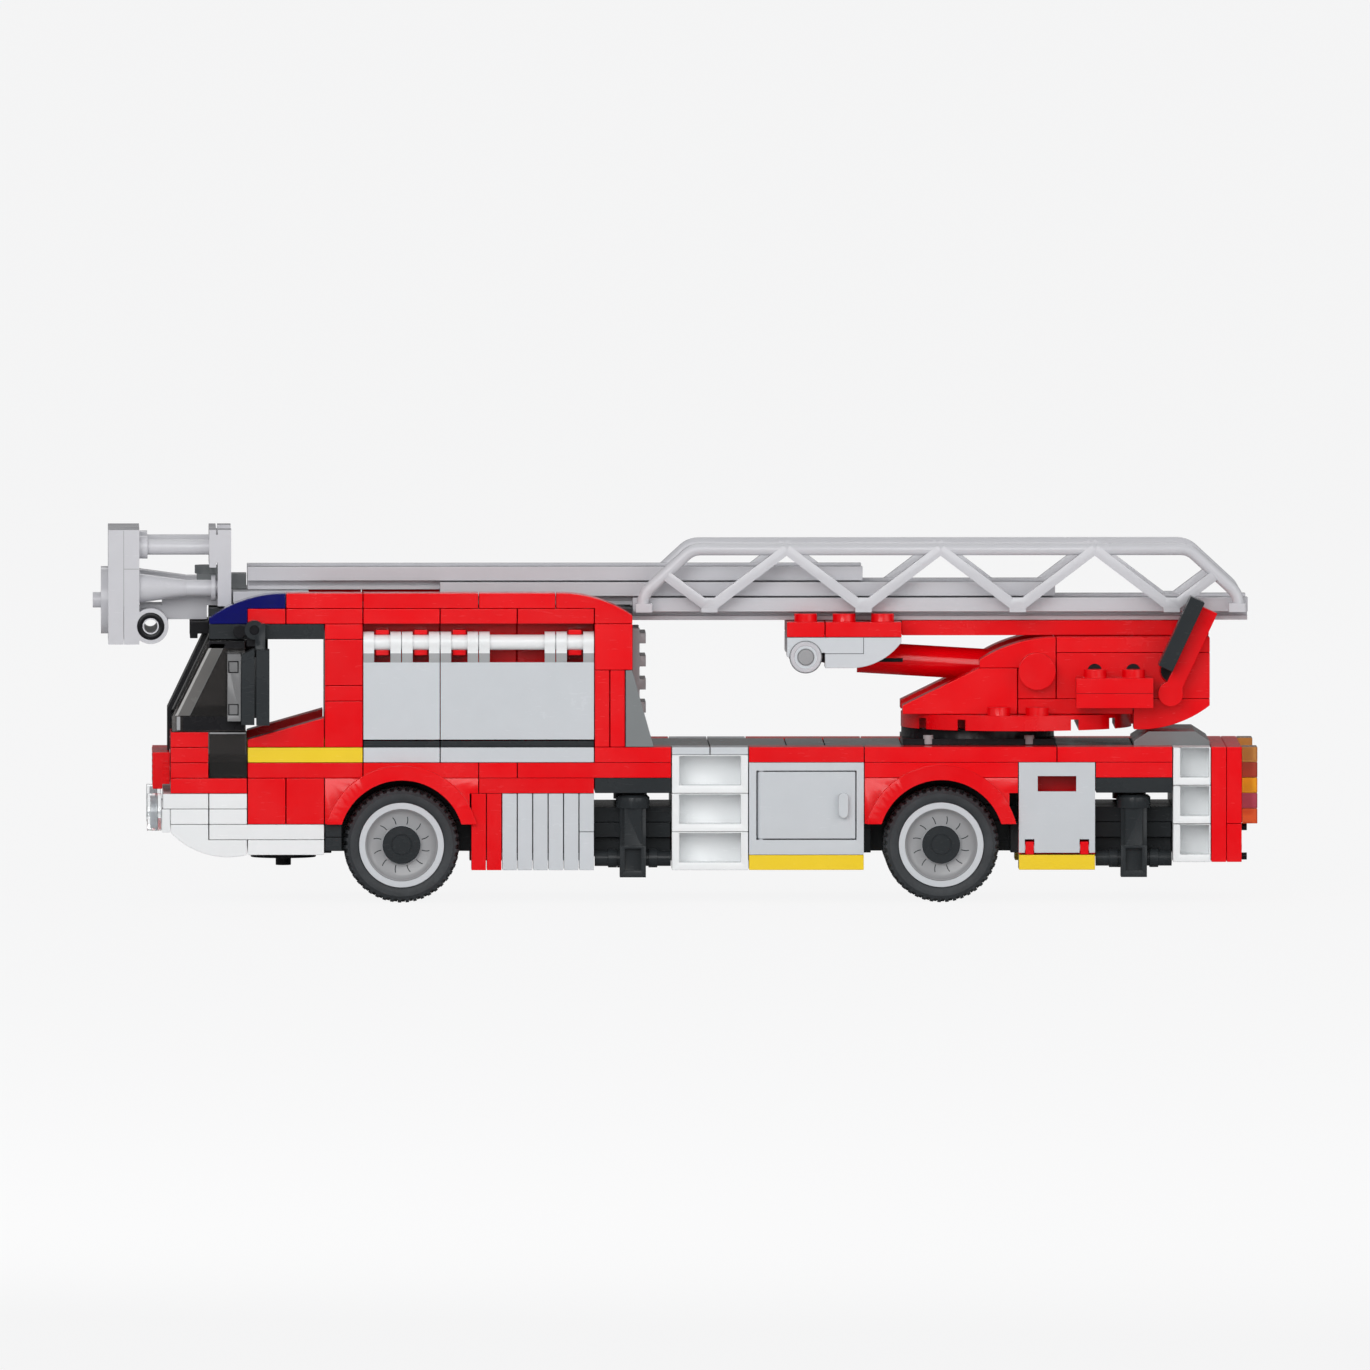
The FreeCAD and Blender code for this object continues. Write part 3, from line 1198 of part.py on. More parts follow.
def bent_bar(spots, radius, bend, across):
    """A round bar through points in side view, each (along in studs, height), rounded where it turns."""
    points = [Vector(along(spot[0]), across, spot[1]) for spot in spots]
    edges = []
    start = points[0]
    for before, corner, after in zip(points, points[1:], points[2:]):
        back = (before - corner).normalize()
        ahead = (after - corner).normalize()
        half_angle = back.getAngle(ahead) / 2
        cut = bend / math.tan(half_angle)
        middle = corner + (back + ahead).normalize() * (bend / math.sin(half_angle) - bend)
        edges.append(Part.makeLine(start, corner + back * cut))
        edges.append(Part.Arc(corner + back * cut, middle, corner + ahead * cut).toShape())
        start = corner + ahead * cut
    edges.append(Part.makeLine(start, points[-1]))
    section = Part.Wire(Part.makeCircle(radius, points[0], points[1] - points[0]))
    return Part.Wire(edges).makePipeShell([section], True, False)


truss_pieces = []
for side_name, side in SIDES:
    low, high = reach(side, size("truss_half") - size("truss_depth"), size("truss_half"))
    rail_line = truss_head - truss_rail / 2
    foot_line = truss_foot + 0.9
    parts = [bent_bar((
        (base_start + 0.27, truss_foot), (base_start + 0.27, foot_line + 2.7), (base_start + 1.55, rail_line),
        (base_end - 1.55, rail_line), (base_end - 0.27, foot_line + 2.7), (base_end - 0.27, truss_foot),
    ), truss_rail / 2, truss_bend, (low + high) / 2)]
    for end, turn in ((base_start, 1), (base_end, -1)):
        parts.append(strut((end + 2 * turn, foot_line), (end + 0.9 * turn, foot_line + 6.6), truss_bar, low, high))
    for valley in (2, 6, 10, 14):
        middle = along(base_start + valley)
        web = [(middle - 1.2, truss_foot + 0.4), (middle + 1.2, truss_foot + 0.4), (middle + 3.1, truss_foot + 3.0),
               (middle - 3.1, truss_foot + 3.0)]
        parts.append(prism(web, low, high))
    for peak in (4, 8, 12):
        top = base_start + peak
        parts.append(strut((top - 2, foot_line), (top, rail_line), truss_bar, low, high))
        parts.append(strut((top, rail_line), (top + 2, foot_line), truss_bar, low, high))
    feet = [base_start + 0.3, base_start + 2, base_start + 6, base_start + 10, base_start + 14, base_end - 0.3]
    for place in feet:
        rib_low, rib_high = reach(side, size("base_half") + BED, size("truss_half"))
        parts.append(box((along(place) - 1.7, rib_low, truss_foot), (along(place) + 1.7, rib_high, truss_foot + 1.8)))
    parts_whole = fuse_all(parts)
    clear = box((along(base_start) + SEAM, -SIDE, truss_foot), (along(base_end) - SEAM, SIDE, truss_head))
    truss_pieces.append(shaped(f"truss_{side_name}", parts_whole.common(clear)))
group("ladder_truss", truss_pieces)

# ---------------------------------------------------------------- cage and its arm
cage_along = along(size("cage_axis"))
cage_height = size("cage_height")
lug_half = STUD - 2 * SEAM
arm_lower = box((along(-0.78), -lug_half, layer(16) + 0.3), (along(0.96), lug_half, layer(17)))
arm_upper = box((along(-0.2), -lug_half, layer(17)), (along(3.6), lug_half, layer(18) - BED))
arm_lug = rod(3.3, (cage_along, -lug_half, cage_height), (cage_along, lug_half, cage_height))
arm_web = box((cage_along - 2.2, -lug_half, cage_height), (cage_along + 3.3, lug_half, layer(16) + 1))
arm_whole = fuse_all([arm_lower, arm_upper, arm_lug, arm_web])
arm_whole = arm_whole.cut(rod(pivot_radius + GAP, (cage_along, -SIDE, cage_height), (cage_along, SIDE, cage_height)))
wing_pieces = []
for side_name, side in SIDES:
    low, high = reach(side, lug_half + SEAM, CORE - SEAM)
    wing_pieces.append(shaped(f"head_wing_{side_name}", box((along(1.64), low, layer(17) + 0.1),
                                                            (along(3.6), high, layer(18) - BED))))
tongue = fuse_all([
    box((along(0.7), -3.9, layer(18) + BED), (along(2) - SEAM, 3.9, layer(19) - BED)),
    knob(0.95, layer(19) - BED, 0),
])
group("cage_arm", [shaped("arm", arm_whole), shaped("tongue", tongue)] + wing_pieces)

cage_front = along(-size("cage_reach"))
wall_head = 77.2
wall_foot = 53.4
first_plate = box((cage_front, -CORE, wall_foot), (cage_front + PLATE - BED, CORE, wall_head))
second_start = cage_front + PLATE + BED
cage_parts = []
for side_name, side in SIDES:
    low, high = reach(side, STUD + SEAM, CORE)
    ear = fuse_all([
        box((second_start, low, wall_foot), (second_start + PLATE, high, layer(16))),
        rod(3.7, (cage_along, low, cage_height), (cage_along, high, cage_height)),
        box((second_start, low, cage_height - 3.0), (cage_along, high, cage_height + 3.0)),
    ])
    cage_parts.append(ear)
upper = box((second_start, -CORE, wall_head - STUD), (second_start + PLATE, CORE, wall_head))
cheek_parts = []
for side_name, side in SIDES:
    low, high = reach(side, STUD + SEAM, CORE)
    cheek_parts.append(box((second_start, low, layer(16) - BED), (second_start + PLATE, high, wall_head - STUD)))
rail_height = 73.5
rail_across = 1.5 * STUD
rail_end = along(1.02)
post_start = along(1.24)
post_end = along(1.59)
link = box((cage_front + PLATE - 2 * BED, -CORE, wall_foot + STUD), (second_start + BED, CORE, wall_head))
cage_pin = rod(pivot_radius, (cage_along, -CORE, cage_height), (cage_along, CORE, cage_height))
cage_pieces = [first_plate, link, upper, cage_pin] + cage_parts + cheek_parts
nozzle_height = 65.0
nozzle_across = 1.5 * STUD
for side_name, side in SIDES:
    rail = side * rail_across
    cage_pieces.append(rod(pivot_radius, (second_start, rail, rail_height), (second_start + PLATE + 1.7, rail,
                                                                            rail_height)))
    cage_pieces.append(rod(BAR_RADIUS, (second_start, rail, rail_height), (rail_end + 0.5, rail, rail_height)))
    low, high = reach(side, STUD + SEAM, CORE)
    cage_pieces.append(box((post_start, low, layer(17) + 0.15), (post_end, high, wall_head)))
    nozzle = side * nozzle_across
    cone = Part.makeCone(3.1, 1.75, along(0.45) - second_start - PLATE, Vector(second_start + PLATE - 0.3, nozzle,
                                                                               nozzle_height), Vector(1, 0, 0))
    cage_pieces.append(cone)
    cage_pieces.append(rod(1.7, (along(0.3), nozzle, nozzle_height), (post_start + 0.3, nozzle, nozzle_height)))
    cage_pieces.append(rod(2.65, (along(1.07), nozzle, nozzle_height), (along(1.18), nozzle, nozzle_height)))
rear_panel = box((rail_end, -CORE, 69.4), (along(1.2), CORE, wall_head))
panel_link = box((along(1.18), -CORE, 70.4), (post_start + 0.3, CORE, wall_head - 1))
dish_height = 62.0
dish = Part.makeCylinder(7.0, size("dish_thickness") + 0.2, Vector(cage_front - size("dish_thickness"), 0, dish_height),
                         Vector(1, 0, 0))
dish_stub = Part.makeCylinder(BAR_RADIUS, size("knob_rise") + 0.3,
                              Vector(cage_front - size("dish_thickness") - size("knob_rise"), 0, dish_height),
                              Vector(1, 0, 0))
cage_pieces += [rear_panel, panel_link, dish, dish_stub]
cage_bore = rod(BAR_RADIUS - 0.2, (cage_along, -SIDE, cage_height), (cage_along, SIDE, cage_height))
node(shaped("cage", fuse_all(cage_pieces).cut(cage_bore)), "cage")

# ---------------------------------------------------------------- check and write
doc.recompute()
for item in doc.Objects:
    if "Invalid" in item.State or "Error" in item.State:
        raise RuntimeError(f"{item.Label} failed: {item.State}")
for item in nodes:
    if item.Shape.isNull() or not item.Shape.isValid():
        raise RuntimeError(f"{item.Label} has no valid shape")

os.makedirs("parts", exist_ok=True)
for item in nodes:
    item.Shape.exportStep(f"parts/{item.Label}.step")
print(len(nodes), "sub-parts")
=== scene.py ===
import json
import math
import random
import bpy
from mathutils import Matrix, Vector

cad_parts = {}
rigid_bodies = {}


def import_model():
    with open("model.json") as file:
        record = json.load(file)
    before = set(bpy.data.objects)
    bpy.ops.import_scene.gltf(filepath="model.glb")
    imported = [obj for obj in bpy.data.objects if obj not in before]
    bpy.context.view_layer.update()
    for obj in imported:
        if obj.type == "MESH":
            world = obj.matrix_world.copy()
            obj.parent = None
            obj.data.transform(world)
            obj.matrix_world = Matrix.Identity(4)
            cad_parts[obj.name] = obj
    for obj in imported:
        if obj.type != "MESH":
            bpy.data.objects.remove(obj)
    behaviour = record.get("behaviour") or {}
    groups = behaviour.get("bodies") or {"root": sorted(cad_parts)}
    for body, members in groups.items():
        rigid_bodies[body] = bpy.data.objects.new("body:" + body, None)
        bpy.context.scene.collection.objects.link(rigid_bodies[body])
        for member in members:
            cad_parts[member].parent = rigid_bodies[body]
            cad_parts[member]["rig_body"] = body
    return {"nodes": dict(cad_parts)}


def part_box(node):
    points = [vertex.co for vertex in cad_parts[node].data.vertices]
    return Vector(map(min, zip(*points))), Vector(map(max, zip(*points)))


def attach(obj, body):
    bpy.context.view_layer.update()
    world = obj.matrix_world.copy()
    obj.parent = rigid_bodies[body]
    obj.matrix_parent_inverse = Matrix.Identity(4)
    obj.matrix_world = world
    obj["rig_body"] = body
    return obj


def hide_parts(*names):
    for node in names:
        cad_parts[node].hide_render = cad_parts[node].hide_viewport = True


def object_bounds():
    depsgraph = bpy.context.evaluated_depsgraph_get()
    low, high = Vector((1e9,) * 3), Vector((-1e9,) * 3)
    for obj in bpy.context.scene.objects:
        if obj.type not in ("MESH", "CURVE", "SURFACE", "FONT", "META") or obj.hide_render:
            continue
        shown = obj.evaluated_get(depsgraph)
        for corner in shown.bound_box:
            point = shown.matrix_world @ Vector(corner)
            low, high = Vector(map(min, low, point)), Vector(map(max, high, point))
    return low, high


bl_info = {
    "name": "Brick-built ladder fire engine",
    "version": (1, 0, 0),
    "blender": (4, 5, 0),
    "location": "3D View > Sidebar > Fire engine",
    "description": "Finishes the moulded bricks, wheels, lamps and ladder of a toy fire engine",
    "category": "Object",
}

import bmesh
import bpy
from bpy.props import FloatProperty, FloatVectorProperty, IntProperty, PointerProperty
from mathutils import Matrix, Vector

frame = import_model()
cad_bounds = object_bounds()

MM = 0.001
SIDES = {"left": -1, "right": 1}
ENDS = ("front", "rear")
CREASE = math.radians(32)   # edges sharper than this are rounded


# ---------------------------------------------------------------- settings
def colour_setting(label, note, value):
    return FloatVectorProperty(name=label, description=note, subtype="COLOR", size=3, min=0, max=1,
                               default=value)


def length_setting(label, note, value):
    return FloatProperty(name=label, description=note, unit="LENGTH", subtype="DISTANCE", min=0,
                         precision=5, default=value)


def count_setting(label, note, least, most, value):
    return IntProperty(name=label, description=note, min=least, max=most, default=value)


class EngineColours(bpy.types.PropertyGroup):
    """Colours of the mouldings."""

    red: colour_setting("Red", "Bodywork, turret and tail bricks", (0.80, 0.0, 0.004))
    white: colour_setting("White", "Bumper and steps", (0.83, 0.85, 0.86))
    panel_grey: colour_setting("Panel grey", "Doors, flaps and ribbed panels", (0.60, 0.63, 0.66))
    ladder_grey: colour_setting("Ladder grey", "Ladder sections and cage", (0.57, 0.57, 0.60))
    slope_grey: colour_setting("Slope grey", "Deck tiles and slopes", (0.21, 0.225, 0.23))
    # neck_grey is painted shade: a darker grey for the shade on the recessed, slanted necks of the flaps
    neck_grey: colour_setting("Neck grey", "Necks that carry the locker flaps", (0.37, 0.375, 0.385))
    rim_grey: colour_setting("Rim grey", "Dished middles of the rims", (0.34, 0.345, 0.355))
    leaf_grey: colour_setting("Leaf grey", "Folded front leaf of each mirror", (0.175, 0.177, 0.181))
    dark_grey: colour_setting("Dark grey", "Chassis, mirrors and stabilizers", (0.026, 0.030, 0.033))
    # Black is also painted shade: inside the lockers, in the mirrors' grooves and in place of the turret's
    # pin holes
    black: colour_setting("Black", "Screen frame and turntable base", (0.010, 0.010, 0.012))
    yellow: colour_setting("Yellow", "Stripes", (0.90, 0.64, 0.028))
    tyre: colour_setting("Tyre", "Rubber of the tyres", (0.030, 0.034, 0.038))
    smoked: colour_setting("Smoked", "Tint of the cab's screen", (0.15, 0.142, 0.138))
    # fold_light and fold_grey are painted highlights: the bright and the dimmer band of reflected light on
    # the cab's smoked screen
    fold_light: colour_setting("Light fold", "Front fold of the cab's screen", (0.42, 0.415, 0.405))
    fold_grey: colour_setting("Grey fold", "Second fold of the cab's screen", (0.135, 0.132, 0.128))
    seam_red: colour_setting("Seam red", "Joints between stacked red plates", (0.26, 0.0, 0.004))
    clear: colour_setting("Clear", "Headlamp plastic", (0.93, 0.95, 0.96))
    blue: colour_setting("Blue", "Tint of the roof beacons", (0.004, 0.006, 0.22))
    amber: colour_setting("Amber", "Tint of the top tail lamps", (0.62, 0.27, 0.07))
    orange: colour_setting("Orange", "Tint of the turn signals", (1.0, 0.42, 0.02))
    lamp_red: colour_setting("Lamp red", "Tint of the brake lamps", (0.50, 0.07, 0.04))
    lamp_rose: colour_setting("Lamp rose", "Tint of the tail lamps", (0.55, 0.08, 0.12))
    flame: colour_setting("Flame", "Tint of the lowest tail lamps", (0.85, 0.12, 0.03))
    stage: colour_setting("Stage", "Floor and backdrop", (0.94, 0.94, 0.943))


class EngineSizes(bpy.types.PropertyGroup):
    """Sizes of the details."""

    edge: length_setting("Edge radius", "Rounding along each brick's edges", 0.13 * MM)
    stud: length_setting("Stud pitch", "Pitch of the stud grid", 8 * MM)
    tread_depth: length_setting("Tread depth", "Depth of the grooves in a tyre", 0.45 * MM)
    tread_blocks: count_setting("Tread blocks", "Blocks round a tyre", 12, 96, 46)
    hub_marks: count_setting("Hub marks", "Curved marks round a hub", 0, 40, 12)
    camera_distance: length_setting("Camera distance", "From the camera to the engine's near side", 10.0)
    view_width: length_setting("View width", "Width of the view at the engine's near side", 0.28422)


def sizes():
    return bpy.context.scene.engine_sizes


def colours():
    return bpy.context.scene.engine_colours


# ---------------------------------------------------------------- finishes
def new_finish(name):
    """An empty node material with its shader and output."""
    material = bpy.data.materials.new(name)
    material.use_nodes = True
    tree = material.node_tree
    tree.nodes.clear()
    output = tree.nodes.new("ShaderNodeOutputMaterial")
    shader = tree.nodes.new("ShaderNodeBsdfPrincipled")
    tree.links.new(shader.outputs["BSDF"], output.inputs["Surface"])
    return material, tree, shader


def noise(tree, vector, scale, detail, roughness=0.5):
    """Soft noise between 0 and 1."""
    texture = tree.nodes.new("ShaderNodeTexNoise")
    texture.inputs["Scale"].default_value = scale
    texture.inputs["Detail"].default_value = detail
    texture.inputs["Roughness"].default_value = roughness
    tree.links.new(vector, texture.inputs["Vector"])
    return texture.outputs["Fac"]


def stretched(tree, vector, scale, turn):
    """The vector scaled and turned, so that a pattern on it runs one way."""
    mapping = tree.nodes.new("ShaderNodeMapping")
    mapping.inputs["Scale"].default_value = scale
    mapping.inputs["Rotation"].default_value = turn
    tree.links.new(vector, mapping.inputs["Vector"])
    return mapping.outputs["Vector"]


def spread(tree, value, low, high, start=0.0, end=1.0):
    """A value between start and end brought to between low and high."""
    remap = tree.nodes.new("ShaderNodeMapRange")
    remap.inputs["From Min"].default_value = start
    remap.inputs["From Max"].default_value = end
    remap.inputs["To Min"].default_value = low
    remap.inputs["To Max"].default_value = high
    tree.links.new(value, remap.inputs["Value"])
    return remap.outputs["Result"]


def added(tree, first, second, operation="ADD"):
    """Two values added, or joined by another operation."""
    maths = tree.nodes.new("ShaderNodeMath")
    maths.operation = operation
    tree.links.new(first, maths.inputs[0])
    if isinstance(second, float):
        maths.inputs[1].default_value = second
    else:
        tree.links.new(second, maths.inputs[1])
    return maths.outputs[0]


def toned(tree, colour, tone):
    """The colour brightened or darkened a little by tone, about 1."""
    mix = tree.nodes.new("ShaderNodeMix")
    mix.data_type = "RGBA"
    mix.blend_type = "MULTIPLY"
    mix.inputs["Factor"].default_value = 1.0
    mix.inputs[6].default_value = (*colour, 1)
    tree.links.new(tone, mix.inputs[7])
    return mix.outputs[2]


def moulded_plastic(name, colour, roughness=0.19, coat=0.06, gloss=0.3):
    """Moulded ABS: each brick a shade apart, faint flow marks, hairline scratches and handling marks."""
    material, tree, shader = new_finish(name)
    place = tree.nodes.new("ShaderNodeTexCoord").outputs["Object"]
    brick_tone = tree.nodes.new("ShaderNodeAttribute")
    brick_tone.attribute_name = "brick_tone"
    flow = noise(tree, place, 260, 3)
    per_brick = spread(tree, brick_tone.outputs["Fac"], 0.955, 1.03)
    tone = added(tree, per_brick, spread(tree, flow, 0.975, 1.025), "MULTIPLY")
    tree.links.new(toned(tree, colour, tone), shader.inputs["Base Color"])
    smears = noise(tree, place, 90, 5, 0.62)
    scratches = noise(tree, stretched(tree, place, (420, 7000, 2600), (0.3, 0.5, 0.2)), 1.0, 2)
    hairlines = spread(tree, scratches, 0.0, 0.10, 0.62, 0.75)
    rough = added(tree, spread(tree, smears, roughness - 0.06, roughness + 0.10, 0.3, 0.7), hairlines)
    tree.links.new(rough, shader.inputs["Roughness"])
    bump = tree.nodes.new("ShaderNodeBump")
    bump.inputs["Strength"].default_value = 0.35
    bump.inputs["Distance"].default_value = 0.00003
    ripple = added(tree, noise(tree, place, 420, 2), added(tree, scratches, 0.35, "MULTIPLY"))
    tree.links.new(ripple, bump.inputs["Height"])
    tree.links.new(bump.outputs["Normal"], shader.inputs["Normal"])
    shader.inputs["IOR"].default_value = 1.53
    shader.inputs["Specular IOR Level"].default_value = gloss
    shader.inputs["Coat Weight"].default_value = coat
    shader.inputs["Coat Roughness"].default_value = 0.08
    return material


def clear_plastic(name, colour, transmission, roughness=0.05):
    """Transparent polycarbonate with flow streaks and handling marks."""
    material, tree, shader = new_finish(name)
    place = tree.nodes.new("ShaderNodeTexCoord").outputs["Object"]
    streaks = noise(tree, stretched(tree, place, (90, 300, 700), (0, 0.3, 0)), 1.0, 3)
    tree.links.new(toned(tree, colour, spread(tree, streaks, 0.9, 1.08)), shader.inputs["Base Color"])
    smears = noise(tree, place, 110, 4, 0.6)
    tree.links.new(spread(tree, smears, roughness, roughness + 0.10, 0.35, 0.7), shader.inputs["Roughness"])
    bump = tree.nodes.new("ShaderNodeBump")
    bump.inputs["Strength"].default_value = 0.2
    bump.inputs["Distance"].default_value = 0.00002
    tree.links.new(streaks, bump.inputs["Height"])
    tree.links.new(bump.outputs["Normal"], shader.inputs["Normal"])
    shader.inputs["Transmission Weight"].default_value = transmission
    shader.inputs["IOR"].default_value = 1.46
    return material


def tyre_rubber(name, colour):
    """Soft moulded rubber: matt, with a fine grain and a bloom of dust."""
    material, tree, shader = new_finish(name)
    place = tree.nodes.new("ShaderNodeTexCoord").outputs["Object"]
    grain = noise(tree, place, 2600, 4, 0.6)
    bloom = noise(tree, place, 150, 4, 0.6)
    tree.links.new(toned(tree, colour, spread(tree, bloom, 0.8, 1.35, 0.3, 0.7)), shader.inputs["Base Color"])
    tree.links.new(spread(tree, grain, 0.48, 0.66, 0.3, 0.7), shader.inputs["Roughness"])
    bump = tree.nodes.new("ShaderNodeBump")
    bump.inputs["Strength"].default_value = 0.5
    bump.inputs["Distance"].default_value = 0.00005
    tree.links.new(grain, bump.inputs["Height"])
    tree.links.new(bump.outputs["Normal"], shader.inputs["Normal"])
    shader.inputs["Specular IOR Level"].default_value = 0.4
    return material


# tinted plastics and how much light they let through
TINTS = {
    "smoked": 0.93, "clear": 0.96, "blue": 0.5, "amber": 0.6, "orange": 0.6, "lamp_red": 0.55,
    "lamp_rose": 0.55, "flame": 0.55,
}
DULL_PLASTICS = ("dark_grey", "black")


def finish(name):
    """The material of that name, made the first time that it is asked for."""
    label = f"{name}_finish"
    found = bpy.data.materials.get(label)
    if found:
        return found
    colour = tuple(getattr(colours(), name))
    if name == "tyre":
        return tyre_rubber(label, colour)
    if name in TINTS:
        return clear_plastic(label, colour, TINTS[name])
    if name in DULL_PLASTICS:
        return moulded_plastic(label, colour, 0.24, coat=0.03, gloss=0.16)
    return moulded_plastic(label, colour)


# ---------------------------------------------------------------- making pieces
def islands(bm):
    """Each separate brick's faces."""
    left = set(bm.faces)
    found = []
    for seed in bm.faces:
        if seed not in left:
            continue
        left.discard(seed)
        queue = [seed]
        members = []
        while queue:
            face = queue.pop()
            members.append(face)
            for edge in face.edges:
                for other in edge.link_faces:
                    if other in left:
                        left.discard(other)
                        queue.append(other)
        found.append(members)
    return found


def centre_of(faces):
    """The middle of the box round some faces."""
    points = [vert.co for face in faces for vert in face.verts]
    low = Vector(min(point[axis] for point in points) for axis in range(3))
    high = Vector(max(point[axis] for point in points) for axis in range(3))
    return (low + high) / 2


def tint_bricks(bm, name):
    """Gives each separate brick its own shade."""
    tones = bm.faces.layers.float.new("brick_tone")
    chance = random.Random(name)
    for faces in islands(bm):
        tone = chance.random()
        for face in faces:
            face[tones] = tone


def finished(name, bm, body, finishes, edge=None, replaces=()):
    """A finished piece from a bmesh: its shades, smooth faces, rounded edges, body and finishes."""
    tint_bricks(bm, name)
    for face in bm.faces:
        face.smooth = True
    mesh = bpy.data.meshes.new(name)
    bm.to_mesh(mesh)
    bm.free()
    mesh.set_sharp_from_angle(angle=CREASE)
    for label in finishes:
        mesh.materials.append(finish(label))
    piece = bpy.data.objects.new(name, mesh)
    bpy.context.scene.collection.objects.link(piece)
    edge = sizes().edge if edge is None else edge
    if edge > 0:
        rounding = piece.modifiers.new("rounded_edges", "BEVEL")
        rounding.width = edge
        rounding.segments = 2
        rounding.limit_method = "ANGLE"
        rounding.angle_limit = CREASE
        rounding.use_clamp_overlap = True
        rounding.harden_normals = True
        rounding.miter_outer = "MITER_ARC"
    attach(piece, body)
    if replaces:
        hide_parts(*replaces)
    return piece


def body_of(node):
    """Name of the body that a CAD node rides on."""
    return frame["nodes"][node]["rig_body"]


# mouldings with openings that a flat face made whole would fill
PIERCED = (
    "ladder_base", "ladder_middle", "ladder_fly", "ladder_truss", "access_ladder", "mirrors", "side_steps",
    "wheel_arches", "stabilizer_front_left", "stabilizer_front_right", "stabilizer_rear_left",
    "stabilizer_rear_right",
)


def node_mesh(node):
    """A bmesh of a moulding: loose triangles joined, and flat faces made whole where nothing pierces them."""
    bm = bmesh.new()
    bm.from_mesh(frame["nodes"][node].data)
    bmesh.ops.remove_doubles(bm, verts=bm.verts, dist=2e-6)
    if node not in PIERCED:
        bmesh.ops.dissolve_limit(bm, angle_limit=math.radians(0.6), verts=bm.verts, edges=bm.edges)
    return bm


def face_spot(face):
    """A face's centre, in millimetres."""
    return face.calc_center_median() / MM


def mould(node, *finishes, pick=None, part=None, edge=None, bm=None):
    """The moulding with its finish.

    pick says which finish a whole brick takes, and part which one a face takes, each from a centre in
    millimetres.
    """
    bm = bm or node_mesh(node)
    if pick:
        for faces in islands(bm):
            index = pick(centre_of(faces) / MM)
            for face in faces:
                face.material_index = index
    if part:
        for face in bm.faces:
            face.material_index = part(face_spot(face))
    return finished(f"{node}_moulding", bm, body_of(node), finishes, edge, (node,))


# ---------------------------------------------------------------- shapes, in millimetres
CAB_FRONT = -104.8
BODY_SIDE = 23.9    # outer faces of the bodywork, from the centre plane
INNER_SIDE = 15.9   # outer faces of the walls one stud further in
PIN_HEIGHT = 47.8   # holes in the turret's walls, shown by black discs of painted shade
PLATE = 3.2
TURNS = {"X": Matrix.Rotation(math.radians(90), 3, "Y"), "Y": Matrix.Rotation(math.radians(-90), 3, "X"),
         "Z": Matrix.Identity(3)}


def along(studs):
    """Place along the engine, from studs behind the cab's front."""
    return CAB_FRONT + studs * sizes().stud / MM


def block(bm, low, high):
    """A plain block between two corners."""
    low, high = Vector(low), Vector(high)
    made = bmesh.ops.create_cube(bm, size=1.0)["verts"]
    bmesh.ops.scale(bm, vec=(high - low) * MM, verts=made)
    bmesh.ops.translate(bm, vec=(low + high) / 2 * MM, verts=made)
    return made


def side_block(bm, side, x_range, y_range, z_range):
    """A plain block on one side, with its distances from the centre plane as y_range."""
    low, high = sorted(side * distance for distance in y_range)
    return block(bm, (x_range[0], low, z_range[0]), (x_range[1], high, z_range[1]))


def slab(bm, side, x_range, face, z_range, proud=0.02, sunk=0.15):
    """A thin slab set in the outer face of a wall on one side."""
    return side_block(bm, side, x_range, (face - sunk, face + proud), z_range)


def drum(bm, centre, radius, length, axis, segments=32):
    """A round bar about an axis."""
    made = bmesh.ops.create_cone(bm, cap_ends=True, segments=segments, radius1=radius * MM,
                                 radius2=radius * MM, depth=length * MM)["verts"]
    bmesh.ops.rotate(bm, cent=(0, 0, 0), matrix=TURNS[axis], verts=made)
    bmesh.ops.translate(bm, vec=Vector(centre) * MM, verts=made)
    return made


def lathe(bm, outline, centre, segments, side=1, closed=True):
    """Adds a ring or disc turned from (radius, outward) points about a line across the engine."""
    ring = bmesh.new()
    verts = [ring.verts.new(Vector((radius, outward * side, 0)) * MM) for radius, outward in outline]
    edges = [ring.edges.new((verts[index - 1], verts[index]))
             for index in range(0 if closed else 1, len(verts))]
    bmesh.ops.spin(ring, geom=verts + edges, cent=(0, 0, 0), axis=(0, 1, 0), angle=math.tau,
                   steps=segments, use_merge=True, use_duplicate=False)
    bmesh.ops.remove_doubles(ring, verts=ring.verts, dist=1e-7)
    bmesh.ops.recalc_face_normals(ring, faces=ring.faces)
    bmesh.ops.translate(ring, vec=Vector(centre) * MM, verts=ring.verts)
    mesh = bpy.data.meshes.new("turned")
    ring.to_mesh(mesh)
    ring.free()
    bm.from_mesh(mesh)
    bpy.data.meshes.remove(mesh)


# ---------------------------------------------------------------- operators
class ENGINE_OT_chassis(bpy.types.Operator):
    """Finish the chassis plates, axles and stabilizer bars"""

    bl_idname = "engine.chassis"
    bl_label = "Chassis"

    def execute(self, context):
        mould("chassis_frame", "dark_grey", "black", pick=lambda spot: int(spot.z < 10))
        mould("axles", "dark_grey")
        mould("stabilizer_bars", "dark_grey")
        bm = bmesh.new()
        for side in SIDES.values():
            for z_range in ((10.9, 13.65), (13.75, 16.4)):
                side_block(bm, side, (along(4.02), along(4.44)), (20.2, 23.7), z_range)
        finished("arch_blocks", bm, "chassis", ("dark_grey",))
        return {"FINISHED"}


